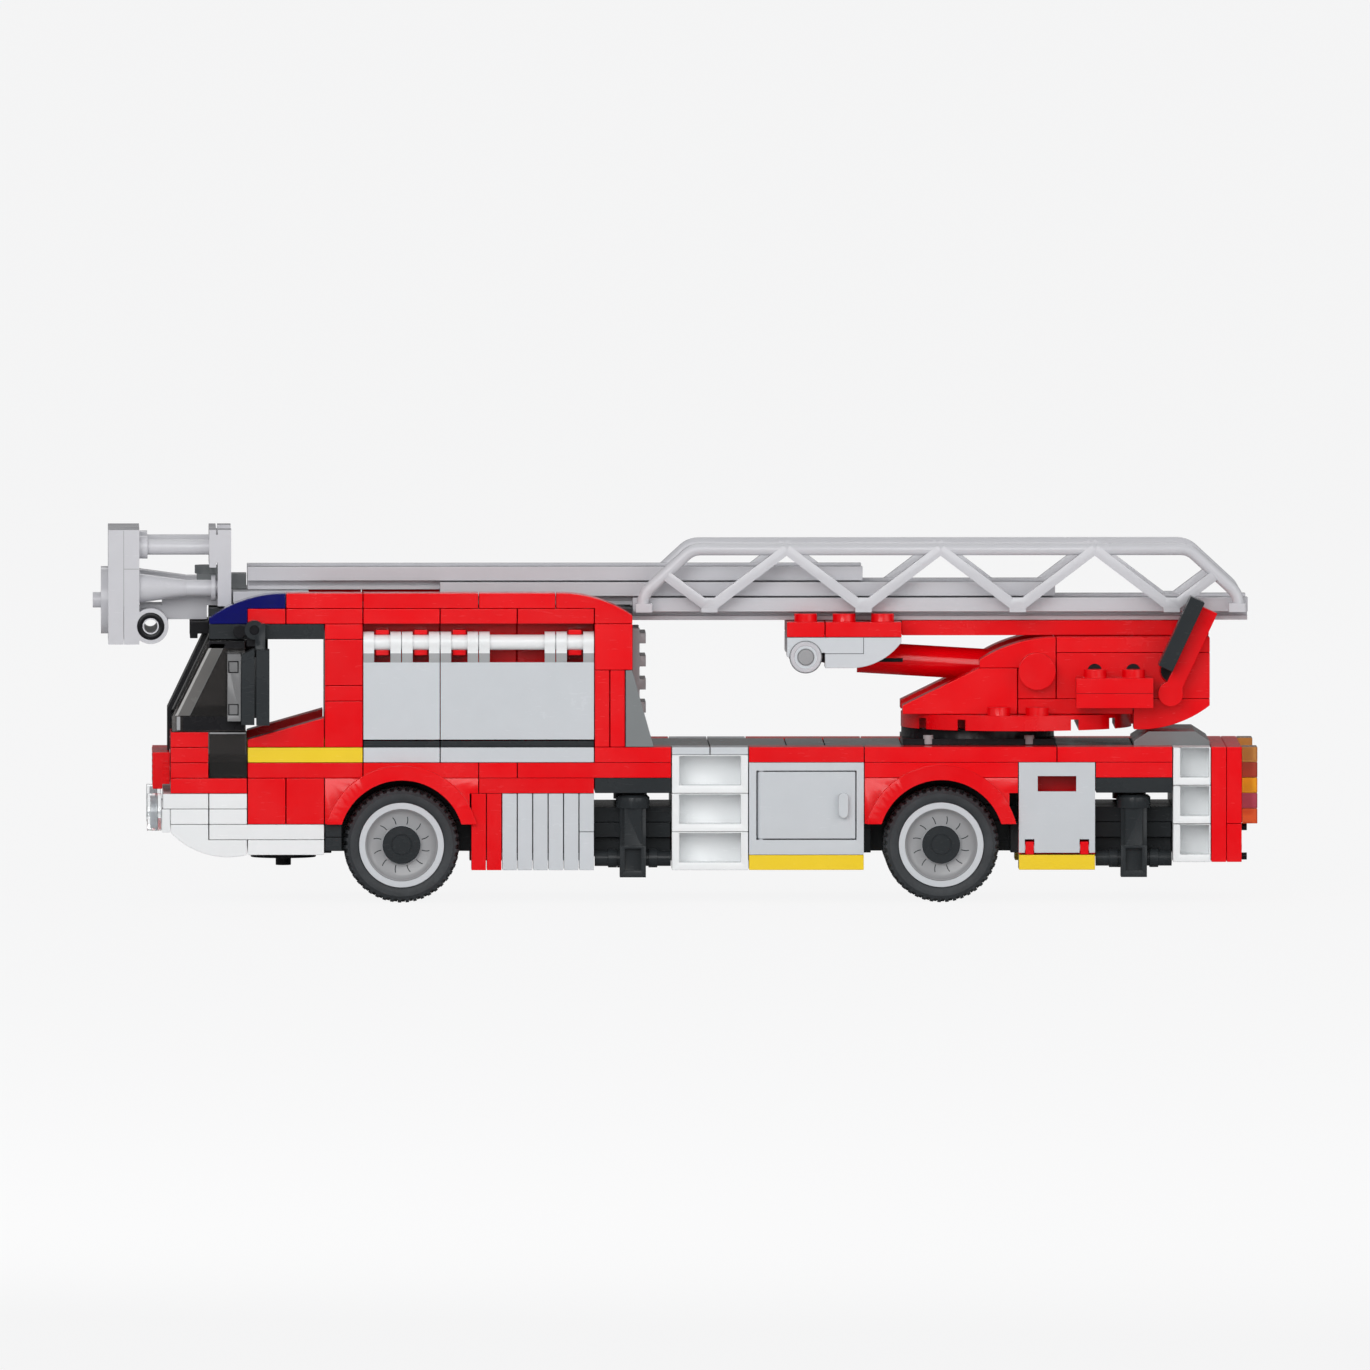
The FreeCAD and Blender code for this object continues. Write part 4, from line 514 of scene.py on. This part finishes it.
class ENGINE_OT_front_end(bpy.types.Operator):
    """Finish the bumper, headlamps and grille"""

    bl_idname = "engine.front_end"
    bl_label = "Bumper and headlamps"

    def execute(self, context):
        mould("front_bumper", "white")
        mould("headlights", "clear")
        bm = bmesh.new()
        for side in SIDES.values():
            for place, radius, length in ((-0.42, 2.35, 1.6), (-0.36, 3.3, 0.5)):
                drum(bm, (along(place), side * 19.6, 18.8), radius, length, "X")
        finished("headlight_reflectors", bm, "chassis", ("panel_grey",), 0.1 * MM)
        pitch = 1.2
        half_width = 15.2
        bm = bmesh.new()
        for count in range(6):
            foot = 24.0 + count * pitch
            block(bm, (along(-0.46), -half_width, foot), (along(-0.43), half_width, foot + 0.6))
        for side in SIDES.values():
            for count in range(4):
                foot = 25.1 + count * pitch
                slab(bm, side, (along(-0.19), along(-0.03)), INNER_SIDE, (foot, foot + 0.5), 0.14)
        finished("grille_bars", bm, "chassis", ("red",), 0.05 * MM)
        return {"FINISHED"}


# painted highlight bands on the sides of the cab's smoked screen, laid as opaque strips along its slanted
# front edge: name, front and rear in studs, finish
SCREEN_HIGHLIGHTS = (
    ("light", 0.13, 0.20, "fold_light"),
    ("grey", 0.20, 0.49, "fold_grey"),
    ("ridge", 0.49, 0.51, "leaf_grey"),
)


class ENGINE_OT_cab(bpy.types.Operator):
    """Finish the cab's bricks, stripes and screen"""

    bl_idname = "engine.cab"
    bl_label = "Cab"

    def execute(self, context):
        mould("cab_bricks", "red")
        mould("yellow_stripes", "yellow")
        mould("windscreen", "smoked")
        mould("cab_header", "black", "dark_grey", pick=lambda spot: int(spot.z > 54 and spot.x > along(1.4)))
        foot, head = 39.0, 53.9
        screen_height = 15.8
        lean = (along(1.0) - along(0.02)) * (head - foot) / screen_height
        # Opaque strips, leaning with the screen's front edge, paint its highlight bands; the ridge strip is a
        # painted highlight line
        for name, front, rear, shade in SCREEN_HIGHLIGHTS:
            bm = bmesh.new()
            for side in SIDES.values():
                made = slab(bm, side, (along(front), along(rear)), BODY_SIDE, (foot, head))
                upper = [vert for vert in made if vert.co.z > (foot + head) / 2 * MM]
                bmesh.ops.translate(bm, vec=(lean * MM, 0, 0), verts=upper)
            finished(f"screen_fold_{name}", bm, "chassis", (shade,), 0)
        sill = (36.0, 38.8)
        bm = bmesh.new()
        for side in SIDES.values():
            slab(bm, side, (along(0.32), along(1.93)), BODY_SIDE, sill)
            slab(bm, side, (along(1.0), along(1.93)), BODY_SIDE, (53.0, 54.5))
        finished("screen_borders", bm, "chassis", ("black",), 0)
        # Painted glints: a light strip on the screen's rounded front corner and a highlight line along the
        # top edge of the lower window
        proud = 0.03
        bm = bmesh.new()
        for side in SIDES.values():
            slab(bm, side, (along(0.17), along(0.26)), BODY_SIDE, sill, proud)
            slab(bm, side, (along(1.02), along(1.96)), BODY_SIDE, (35.2, 35.5), proud)
        finished("screen_edges", bm, "chassis", ("rim_grey",), 0)
        return {"FINISHED"}


class ENGINE_OT_mirrors(bpy.types.Operator):
    """Finish the mirrors and their clips"""

    bl_idname = "engine.mirrors"
    bl_label = "Mirrors"

    def execute(self, context):
        bm = node_mesh("mirrors")
        leaf_front, leaf_rear = along(1.47), along(1.83)
        front, rear = along(1.5), along(1.77)
        squares = ((48.2, 50.7), (39.4, 41.8))
        outer_face = cad_bounds[1].y / MM
        face_at = outer_face - 0.01
        cuts = [((place, 0, 0), (1, 0, 0)) for place in (front, rear)]
        cuts += [((0, 0, height), (0, 0, 1)) for square in squares for height in square]
        for place, normal in cuts:
            near = [face for face in bm.faces if leaf_front - 1 < face_spot(face).x < leaf_rear + 0.2
                    and abs(face_spot(face).y) > face_at]
            geom = near + list({edge for face in near for edge in face.edges})
            geom += list({vert for face in near for vert in face.verts})
            bmesh.ops.bisect_plane(bm, geom=geom, dist=1e-8, plane_co=Vector(place) * MM, plane_no=normal)
        for foot, head in squares:
            for side in SIDES.values():
                square = [face for face in bm.faces if abs(face_spot(face).y * side - outer_face) < 0.02
                          and front < face_spot(face).x < rear and foot < face_spot(face).z < head]
                groove = bmesh.ops.inset_region(bm, faces=square, thickness=0.24 * MM,
                                                use_even_offset=True)["faces"]
                bmesh.ops.inset_region(bm, faces=groove, thickness=0.01 * MM, depth=-0.3 * MM,
                                       use_even_offset=True)

        def leaf_part(spot):
            """The folded front leaf's grey, and black painted as shade in the grooves round its squares."""
            if spot.x > leaf_rear or spot.z > 52.2:
                return 0
            return 2 if face_at - 0.5 < abs(spot.y) < face_at - 0.05 and spot.x > front - 0.01 else 1

        mould("mirrors", "dark_grey", "leaf_grey", "black", bm=bm, edge=0.08 * MM, part=leaf_part)
        clip = (24.15, 25.6)
        bm = bmesh.new()
        for side in SIDES.values():
            drum(bm, (along(2.18), side * 25.6, 56.9), 0.98, 2.6, "Y")
            drum(bm, (along(1.8), side * 24.9, 56.5), 1.35, 1.5, "Y")
            side_block(bm, side, (along(1.66), along(2.0)), clip, (55.6, 57.6))
            side_block(bm, side, (along(1.98), along(2.3)), clip, (53.4, 56.2))
        finished("mirror_pins", bm, "chassis", ("black",), 0.1 * MM)
        return {"FINISHED"}


class ENGINE_OT_roof(bpy.types.Operator):
    """Finish the roof rails, deck and beacons"""

    bl_idname = "engine.roof"
    bl_label = "Roof and beacons"

    def execute(self, context):
        mould("roof_rails", "red")
        mould("roof_deck", "dark_grey")
        mould("blue_beacons", "blue")
        return {"FINISHED"}


class ENGINE_OT_cabin(bpy.types.Operator):
    """Finish the crew cabin, its rear slopes and the access ladder"""

    bl_idname = "engine.cabin"
    bl_label = "Crew cabin"

    def execute(self, context):
        def locker_shade(spot):
            """Black behind the necks of the flaps: painted shade inside the lockers, whose bricks are red."""
            return int(49 < spot.z < 53.5 and abs(spot.y) < 18 and along(5) < spot.x < along(11))

        # Painted shade: faces inside the lockers behind the flaps take black
        mould("cabin_bricks", "red", "black", part=locker_shade)
        mould("rear_slopes", "slope_grey")
        mould("access_ladder", "rim_grey")
        return {"FINISHED"}


class ENGINE_OT_flaps(bpy.types.Operator):
    """Finish the flaps over the lockers and the bars that carry them"""

    bl_idname = "engine.flaps"
    bl_label = "Locker flaps"

    def execute(self, context):
        mould("flap_bars", "white")
        neck_foot, neck_head = 50.05, 51.9
        for end in ENDS:
            for side_name in SIDES:
                node = f"flap_{end}_{side_name}"
                bm = node_mesh(node)
                bmesh.ops.bisect_plane(bm, geom=[*bm.verts, *bm.edges, *bm.faces], dist=1e-7,
                                       plane_co=(0, 0, neck_head * MM), plane_no=(0, 0, 1))
                # Faces between neck_foot and neck_head take neck_grey, painted shade on the recessed necks;
                # the knuckles above are white
                mould(node, "panel_grey", "neck_grey", "white", bm=bm,
                      part=lambda spot: int(spot.z > neck_foot) + int(spot.z > neck_head))
        return {"FINISHED"}


class ENGINE_OT_sides(bpy.types.Operator):
    """Finish the side bricks, ribbed panels, steps and wheel arches"""

    bl_idname = "engine.sides"
    bl_label = "Sides"

    def execute(self, context):
        mould("side_bricks", "red")
        mould("ribbed_panels", "panel_grey")
        mould("side_steps", "white", "panel_grey", pick=lambda spot: int(spot.z > 31))
        mould("wheel_arches", "red")
        mould("cupboard_frames", "panel_grey", "red", pick=lambda spot: int(spot.x > along(20)))
        return {"FINISHED"}


class ENGINE_OT_doors(bpy.types.Operator):
    """Finish the cupboard doors and the hatches"""

    bl_idname = "engine.doors"
    bl_label = "Doors and hatches"

    def execute(self, context):
        for side_name in SIDES:
            mould(f"cupboard_door_{side_name}", "panel_grey")
            mould(f"hatch_{side_name}", "panel_grey")
        return {"FINISHED"}


class ENGINE_OT_deck(bpy.types.Operator):
    """Finish the deck tiles and console"""

    bl_idname = "engine.deck"
    bl_label = "Deck"

    def execute(self, context):
        mould("deck_tiles", "slope_grey", "dark_grey", pick=lambda spot: int(spot.x > along(23)))
        mould("deck_console", "slope_grey")
        return {"FINISHED"}


class ENGINE_OT_tail(bpy.types.Operator):
    """Finish the tail plates and lamps"""

    bl_idname = "engine.tail"
    bl_label = "Tail"

    def execute(self, context):
        mould("tail_plates", "red")
        lamps_foot = 16.4
        shades = ("amber", "lamp_red", "orange", "lamp_rose", "flame")
        last = len(shades) - 1
        mould("tail_lamps", *shades,
              pick=lambda spot: last - min(last, max(0, int((spot.z - lamps_foot) / PLATE))))
        bm = bmesh.new()
        for side in SIDES.values():
            for height in (9.5, 15.6):
                drum(bm, (along(27) + 6.9, side * 20, height), 0.75, 1.2, "X", 16)
        finished("tail_knobs", bm, "chassis", ("black",), 0.05 * MM)
        return {"FINISHED"}


# radius and outward reach
LIFT_PIN_END = ((0, -0.15), (2.3, -0.15), (2.3, 0.06), (2.0, 0.12), (1.3, 0.12), (1.2, 0.02), (0, 0.02))


class ENGINE_OT_turret(bpy.types.Operator):
    """Finish the turntable, turret walls and operator's stand"""

    bl_idname = "engine.turret"
    bl_label = "Turret"

    def execute(self, context):
        mould("turntable_base", "black")
        mould("turret_plate", "red")
        mould("turret_housing", "red")
        bm = bmesh.new()
        for side in SIDES.values():
            for place in (19.68, 22.3):
                drum(bm, (along(place), side * 15.2, 33.5), 1.05, 1.9, "Z", 24)
        finished("base_pegs", bm, body_of("turntable_base"), ("rim_grey",), 0.08 * MM)
        bm = bmesh.new()
        for side in SIDES.values():
            lathe(bm, LIFT_PIN_END, (along(26), side * INNER_SIDE, PIN_HEIGHT), 40, closed=False)
        finished("lift_pin_ends", bm, body_of("turret_housing"), ("black",), 0)
        mould("operator_stand", "red", "dark_grey",
              pick=lambda spot: int(spot.z > 51 and spot.x < along(26.45)))
        bm = bmesh.new()
        slab(bm, SIDES["left"], (along(23.5), along(25.5)), BODY_SIDE, (43.4, 43.52), 0.01)
        finished("stand_seams", bm, body_of("operator_stand"), ("seam_red",), 0)
        # Black discs paint the shade of the pin holes in the turret's walls, which are not cut
        bm = bmesh.new()
        for side in SIDES.values():
            for place in (24, 25):
                drum(bm, (along(place), side * (INNER_SIDE - 0.04), PIN_HEIGHT), 1.5, 0.12, "Y", 40)
        finished("wall_holes", bm, body_of("turret_housing"), ("black",), 0)
        return {"FINISHED"}


class ENGINE_OT_lift(bpy.types.Operator):
    """Finish the lift cylinder and its rod"""

    bl_idname = "engine.lift"
    bl_label = "Lift cylinder"

    def execute(self, context):
        mould("lift_cylinder", "red")
        mould("lift_rod", "dark_grey")
        cylinder_side = 3.2
        bm = bmesh.new()
        for side in SIDES.values():
            slab(bm, side, (along(18.25), along(19.05)), cylinder_side, (49.1, 49.9), 0.12)
        finished("cylinder_slots", bm, body_of("lift_cylinder"), ("black",), 0)
        return {"FINISHED"}


# radius and outward reach
BRACKET_RING = ((3.22, -0.1), (3.22, 0.06), (3.1, 0.15), (2.5, 0.15), (2.38, 0.06), (2.38, -0.1))
BRACKET_PIN = ((0, -0.2), (1.6, -0.2), (1.6, 0.1), (1.5, 0.2), (0, 0.2))
SEAM = 0.06     # half of a seam's width


class ENGINE_OT_ladder(bpy.types.Operator):
    """Finish the boom, the ladder sections and the truss sides"""

    bl_idname = "engine.ladder"
    bl_label = "Boom and ladder"

    def execute(self, context):
        mould("boom_plates", "red")
        mould("boom_brackets", "panel_grey", "red", pick=lambda spot: int(spot.x > along(22)))
        rings, outlines, pins, seams = bmesh.new(), bmesh.new(), bmesh.new(), bmesh.new()
        for side in SIDES.values():
            eye = (along(16.5), side * INNER_SIDE, 50.7)
            lathe(rings, BRACKET_RING, eye, 48, side)
            lathe(pins, BRACKET_PIN, eye, 32, side, closed=False)
            for inner in (3.3, 1.66):
                outer = inner + 0.1
                lathe(outlines, ((inner, -0.1), (inner, 0.17), (outer, 0.17), (outer, -0.1)), eye, 48, side)
            slab(seams, side, (along(18) - SEAM, along(18) + SEAM), INNER_SIDE, (51.4, 54.75), 0.01)
            slab(seams, side, (along(17), along(18) + SEAM), INNER_SIDE, (51.4 - SEAM, 51.4 + SEAM), 0.01)
        finished("bracket_rings", rings, "boom", ("ladder_grey",), 0.05 * MM)
        finished("bracket_outlines", outlines, "boom", ("leaf_grey",), 0)
        finished("bracket_pins", pins, "boom", ("rim_grey",), 0)
        finished("bracket_seams", seams, "boom", ("dark_grey",), 0)
        for node in ("ladder_base", "ladder_truss", "ladder_middle", "ladder_fly"):
            mould(node, "ladder_grey")
        return {"FINISHED"}


# radius and outward reach
CAGE_COLLAR = ((2.85, -0.3), (2.85, 0.05), (2.7, 0.14), (1.9, 0.14), (1.7, 0.02), (1.45, -0.3))


class ENGINE_OT_cage(bpy.types.Operator):
    """Finish the cage and the arm that carries it"""

    bl_idname = "engine.cage"
    bl_label = "Cage"

    def execute(self, context):
        mould("cage", "ladder_grey")
        joint = along(-1.2)
        collars, seams = bmesh.new(), bmesh.new()
        for side in SIDES.values():
            lathe(collars, CAGE_COLLAR, (along(-0.5), side * INNER_SIDE, 57.2), 48, side)
            slab(seams, side, (joint, along(-0.81)), INNER_SIDE, (69.0, 69.14), 0.01)
            slab(seams, side, (joint - SEAM, joint + SEAM), INNER_SIDE, (61.3, 77.1), 0.01)
        finished("cage_collars", collars, body_of("cage"), ("black",), 0)
        finished("cage_seams", seams, body_of("cage"), ("rim_grey",), 0)
        mould("cage_arm", "ladder_grey", "slope_grey", pick=lambda spot: int(spot.z > 64.4))
        return {"FINISHED"}


# radius and outward reach, from the tyre's outer face
DISH = ((7.45, -0.8), (7.45, -2.7), (3.95, -2.7), (3.95, -2.1), (6.1, -2.06), (6.7, -1.85), (7.05, -1.45),
        (7.25, -0.9))
HUB = ((0, -1.4), (3.95, -1.4), (3.95, -1.0), (3.8, -0.86), (2.25, -0.82), (2.15, -0.9), (2.05, -0.9),
       (1.95, -0.78), (0, -0.76))


def treaded_tyre(outer, half):
    """A tyre about the origin, with two outer rows of blocks and a middle row half a pitch on."""
    inner = 8.84
    base = outer - sizes().tread_depth / MM
    blocks = sizes().tread_blocks
    middle_row, outer_rows = half * 0.3, half * 0.36
    wall = ((inner, half - 0.35), (inner + 0.4, half - 0.1), (inner + 1.2, half), (base - 0.9, half),
            (base - 0.35, half - 0.35), (base, half - 1.1), (base, outer_rows), (base, middle_row))
    bm = bmesh.new()
    lathe(bm, [(radius, -across) for radius, across in wall] + list(reversed(wall)), (0, 0, 0), blocks * 2)
    raised = []
    for face in bm.faces:
        spot = face_spot(face)
        if math.hypot(spot.x, spot.z) < base - 0.6 or middle_row < abs(spot.y) < outer_rows:
            continue
        step = int((math.atan2(spot.z, spot.x) % math.tau) / math.tau * blocks * 2)
        shift = 0 if abs(spot.y) > outer_rows else 1
        if (step + shift) % 2 == 0:
            raised.append(face)
    bmesh.ops.inset_region(bm, faces=raised, thickness=0.05 * MM, use_even_offset=True)
    growth = outer * math.cos(math.pi / blocks / 2) - base
    for vert in {vert for face in raised for vert in face.verts}:
        away = Vector((vert.co.x, 0, vert.co.z)).normalized()
        on_tread = math.hypot(vert.co.x, vert.co.z) / MM > base - 0.2
        vert.co += away * growth * MM * (1 if on_tread else 0.55)
    return bm


def curved_marks(side, centre):
    """Short ribs in a ring on the dish, each curving away at its outer end."""
    root, bend = 4.35, 4.8
    floor = side * -2.12
    marks = sizes().hub_marks
    bm = bmesh.new()
    for count in range(marks):
        stub = block(bm, (root, floor - 0.06, -0.09), (bend, floor + 0.06, 0.09))
        bm.normal_update()
        tip = [face for face in bm.faces if all(vert in stub for vert in face.verts) and face.normal.x > 0.9]
        bmesh.ops.spin(bm, geom=tip, cent=Vector((bend, 0, 2.1)) * MM, axis=(0, -1, 0),
                       angle=math.radians(32), steps=4, use_merge=False, use_duplicate=False)
        rib = [vert for vert in bm.verts if not vert.tag]
        turn = Matrix.Rotation(math.tau * (count + 0.5) / marks, 3, "Y")
        bmesh.ops.rotate(bm, cent=(0, 0, 0), matrix=turn, verts=rib)
        for vert in rib:
            vert.tag = True
    bmesh.ops.translate(bm, vec=Vector(centre) * MM, verts=bm.verts)
    bmesh.ops.recalc_face_normals(bm, faces=bm.faces)
    return bm


class ENGINE_OT_wheels(bpy.types.Operator):
    """Model the treaded tyres and finish the rims and hubs"""

    bl_idname = "engine.wheels"
    bl_label = "Wheels"

    def execute(self, context):
        for end in ENDS:
            for side_name, side in SIDES.items():
                place = f"{end}_{side_name}"
                body = f"wheel_{place}"
                low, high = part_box(f"tyre_{place}")
                middle = (low + high) / 2 / MM
                half = (high.y - low.y) / 2 / MM
                bm = treaded_tyre((high.x - low.x) / 2 / MM, half)
                bmesh.ops.translate(bm, vec=middle * MM, verts=bm.verts)
                finished(f"treaded_tyre_{place}", bm, body, ("tyre",), 0, (f"tyre_{place}",))
                mould(f"rim_{place}", "panel_grey", edge=0.1 * MM)
                centre = (middle.x, middle.y + side * half, middle.z)
                bm = bmesh.new()
                lathe(bm, DISH, centre, 72, side)
                finished(f"dish_{place}", bm, body, ("rim_grey",), 0)
                bm = bmesh.new()
                lathe(bm, HUB, centre, 56, side, closed=False)
                finished(f"hub_{place}", bm, body, ("dark_grey",), 0)
                finished(f"hub_marks_{place}", curved_marks(side, centre), body, ("dark_grey",), 0)
        return {"FINISHED"}


class ENGINE_OT_stabilizers(bpy.types.Operator):
    """Finish the fold-down stabilizers"""

    bl_idname = "engine.stabilizers"
    bl_label = "Stabilizers"

    def execute(self, context):
        for end in ENDS:
            for side_name in SIDES:
                mould(f"stabilizer_{end}_{side_name}", "dark_grey")
        return {"FINISHED"}


# ---------------------------------------------------------------- stage, in metres
def stage_paper(pale):
    """Paper that is matt to the lamps, glows evenly to the camera, and is dim in reflections."""
    material = bpy.data.materials.new("stage_paper")
    material.use_nodes = True
    tree = material.node_tree
    tree.nodes.clear()
    output = tree.nodes.new("ShaderNodeOutputMaterial")
    paper = tree.nodes.new("ShaderNodeBsdfDiffuse")
    paper.inputs["Color"].default_value = (0.8, 0.8, 0.8, 1)
    glow = tree.nodes.new("ShaderNodeEmission")
    glow.inputs["Color"].default_value = (*pale, 1)
    rays = tree.nodes.new("ShaderNodeLightPath")
    clear = added(tree, rays.outputs["Is Camera Ray"], rays.outputs["Is Transmission Ray"], "MAXIMUM")
    seen = added(tree, clear, rays.outputs["Is Glossy Ray"], "MAXIMUM")
    share = added(tree, seen, 0.95, "MULTIPLY")
    strength = spread(tree, clear, 0.15, 1.0)
    tree.links.new(strength, glow.inputs["Strength"])
    mix = tree.nodes.new("ShaderNodeMixShader")
    tree.links.new(share, mix.inputs[0])
    tree.links.new(paper.outputs[0], mix.inputs[1])
    tree.links.new(glow.outputs[0], mix.inputs[2])
    tree.links.new(mix.outputs[0], output.inputs["Surface"])
    return material


def stage_sweep(paper):
    """A floor that curves up into a backdrop, and reaches past a camera ten metres behind the engine."""
    bm = bmesh.new()
    near, far, half, top = -14.0, 14.0, 16.0, 16.0
    line = [bm.verts.new((-half, near, 0)), bm.verts.new((half, near, 0))]
    edge = bm.edges.new(line)
    for shift in ((0, far - near, 0), (0, 0, top)):
        made = bmesh.ops.extrude_edge_only(bm, edges=[edge])["geom"]
        edge = [item for item in made if isinstance(item, bmesh.types.BMEdge)
                and all(vert in made for vert in item.verts)][0]
        bmesh.ops.translate(bm, vec=shift, verts=edge.verts)
    corner = [item for item in bm.edges if all(abs(vert.co.y - far) < 1e-6 and vert.co.z < 1e-6
                                               for vert in item.verts)]
    bmesh.ops.bevel(bm, geom=corner, offset=4.0, offset_type="OFFSET", segments=16, profile=0.5,
                    affect="EDGES", material=-1)
    bmesh.ops.recalc_face_normals(bm, faces=bm.faces)
    for face in bm.faces:
        face.smooth = True
    mesh = bpy.data.meshes.new("stage_sweep")
    bm.to_mesh(mesh)
    bm.free()
    mesh.materials.append(paper)
    return bpy.data.objects.new("stage_sweep", mesh)


def studio_world(pale):
    """An even white sky, which the camera sees as the backdrop's tone."""
    world = bpy.data.worlds.new("studio")
    world.use_nodes = True
    tree = world.node_tree
    tree.nodes.clear()
    output = tree.nodes.new("ShaderNodeOutputWorld")
    sky = tree.nodes.new("ShaderNodeBackground")
    sky.inputs["Color"].default_value = (1, 1, 1, 1)
    sky.inputs["Strength"].default_value = 0.40
    plain = tree.nodes.new("ShaderNodeBackground")
    plain.inputs["Color"].default_value = (*pale, 1)
    rays = tree.nodes.new("ShaderNodeLightPath")
    mix = tree.nodes.new("ShaderNodeMixShader")
    tree.links.new(rays.outputs["Is Camera Ray"], mix.inputs[0])
    tree.links.new(sky.outputs[0], mix.inputs[1])
    tree.links.new(plain.outputs[0], mix.inputs[2])
    tree.links.new(mix.outputs[0], output.inputs["Surface"])
    return world


# name, place, width, height, power
SOFTBOXES = (
    ("key_softbox", (-0.35, -1.2, 0.5), 0.9, 0.7, 8.2),
    ("fill_softbox", (0.8, -0.95, 0.3), 0.8, 0.8, 3.6),
    ("top_softbox", (0.0, 0.1, 1.2), 1.0, 0.8, 0.7),
    ("rear_softbox", (0.2, 1.1, 1.0), 1.0, 0.6, 3.2),
)


def softbox(name, place, width, height, power):
    """A lamp that faces the engine's middle."""
    light = bpy.data.lights.new(name, "AREA")
    light.shape = "RECTANGLE"
    light.size = width
    light.size_y = height
    light.energy = power
    lamp = bpy.data.objects.new(name, light)
    lamp.location = place
    lamp.rotation_euler = (Vector((0, 0, 0.04)) - Vector(place)).to_track_quat("-Z", "Y").to_euler()
    return lamp


def engine_camera():
    """A long lens from far off the left side, a little above and to the front."""
    pitch = math.radians(2.68)
    turn = math.radians(0.83)
    film = 36
    forward = Vector((math.sin(turn) * math.cos(pitch), math.cos(turn) * math.cos(pitch), -math.sin(pitch)))
    target = Vector((along(13.35), -24, 45.3)) * MM
    distance = sizes().camera_distance
    view = bpy.data.cameras.new("engine_camera")
    view.type = "PERSP"
    view.sensor_width = film
    view.lens = film * distance / sizes().view_width
    view.clip_start = 0.1
    view.clip_end = 100
    camera = bpy.data.objects.new("engine_camera", view)
    camera.location = target - forward * distance
    camera.rotation_euler = forward.to_track_quat("-Z", "Y").to_euler()
    return camera


class ENGINE_OT_stage(bpy.types.Operator):
    """Set up the floor, backdrop, lamps and camera"""

    bl_idname = "engine.stage"
    bl_label = "Stage"

    def execute(self, context):
        scene = context.scene
        scene.view_settings.view_transform = "Standard"
        pale = tuple(colours().stage)
        sweep = stage_sweep(stage_paper(pale))
        scene.collection.objects.link(sweep)
        scene.world = studio_world(pale)
        for lamp in SOFTBOXES:
            scene.collection.objects.link(softbox(*lamp))
        camera = engine_camera()
        scene.collection.objects.link(camera)
        scene.camera = camera
        return {"FINISHED"}


OPERATORS = (
    ENGINE_OT_chassis, ENGINE_OT_front_end, ENGINE_OT_cab, ENGINE_OT_mirrors, ENGINE_OT_roof,
    ENGINE_OT_cabin, ENGINE_OT_flaps, ENGINE_OT_sides, ENGINE_OT_doors, ENGINE_OT_deck, ENGINE_OT_tail,
    ENGINE_OT_turret, ENGINE_OT_lift, ENGINE_OT_ladder, ENGINE_OT_cage, ENGINE_OT_wheels,
    ENGINE_OT_stabilizers, ENGINE_OT_stage,
)


class ENGINE_PT_panel(bpy.types.Panel):
    """Lists the engine's pieces"""

    bl_label = "Fire engine"
    bl_idname = "ENGINE_PT_panel"
    bl_space_type = "VIEW_3D"
    bl_region_type = "UI"
    bl_category = "Fire engine"

    def draw(self, context):
        for group in (context.scene.engine_sizes, context.scene.engine_colours):
            for name in group.__annotations__:
                self.layout.prop(group, name)
        for operator in OPERATORS:
            self.layout.operator(operator.bl_idname)


CLASSES = (EngineColours, EngineSizes, *OPERATORS, ENGINE_PT_panel)


def register():
    for item in CLASSES:
        bpy.utils.register_class(item)
    bpy.types.Scene.engine_colours = PointerProperty(type=EngineColours)
    bpy.types.Scene.engine_sizes = PointerProperty(type=EngineSizes)


def unregister():
    del bpy.types.Scene.engine_sizes
    del bpy.types.Scene.engine_colours
    for item in reversed(CLASSES):
        bpy.utils.unregister_class(item)


def main():
    register()
    for operator in OPERATORS:
        group, name = operator.bl_idname.split(".")
        getattr(getattr(bpy.ops, group), name)()
    bpy.context.view_layer.update()


if __name__ == "__main__":
    main()
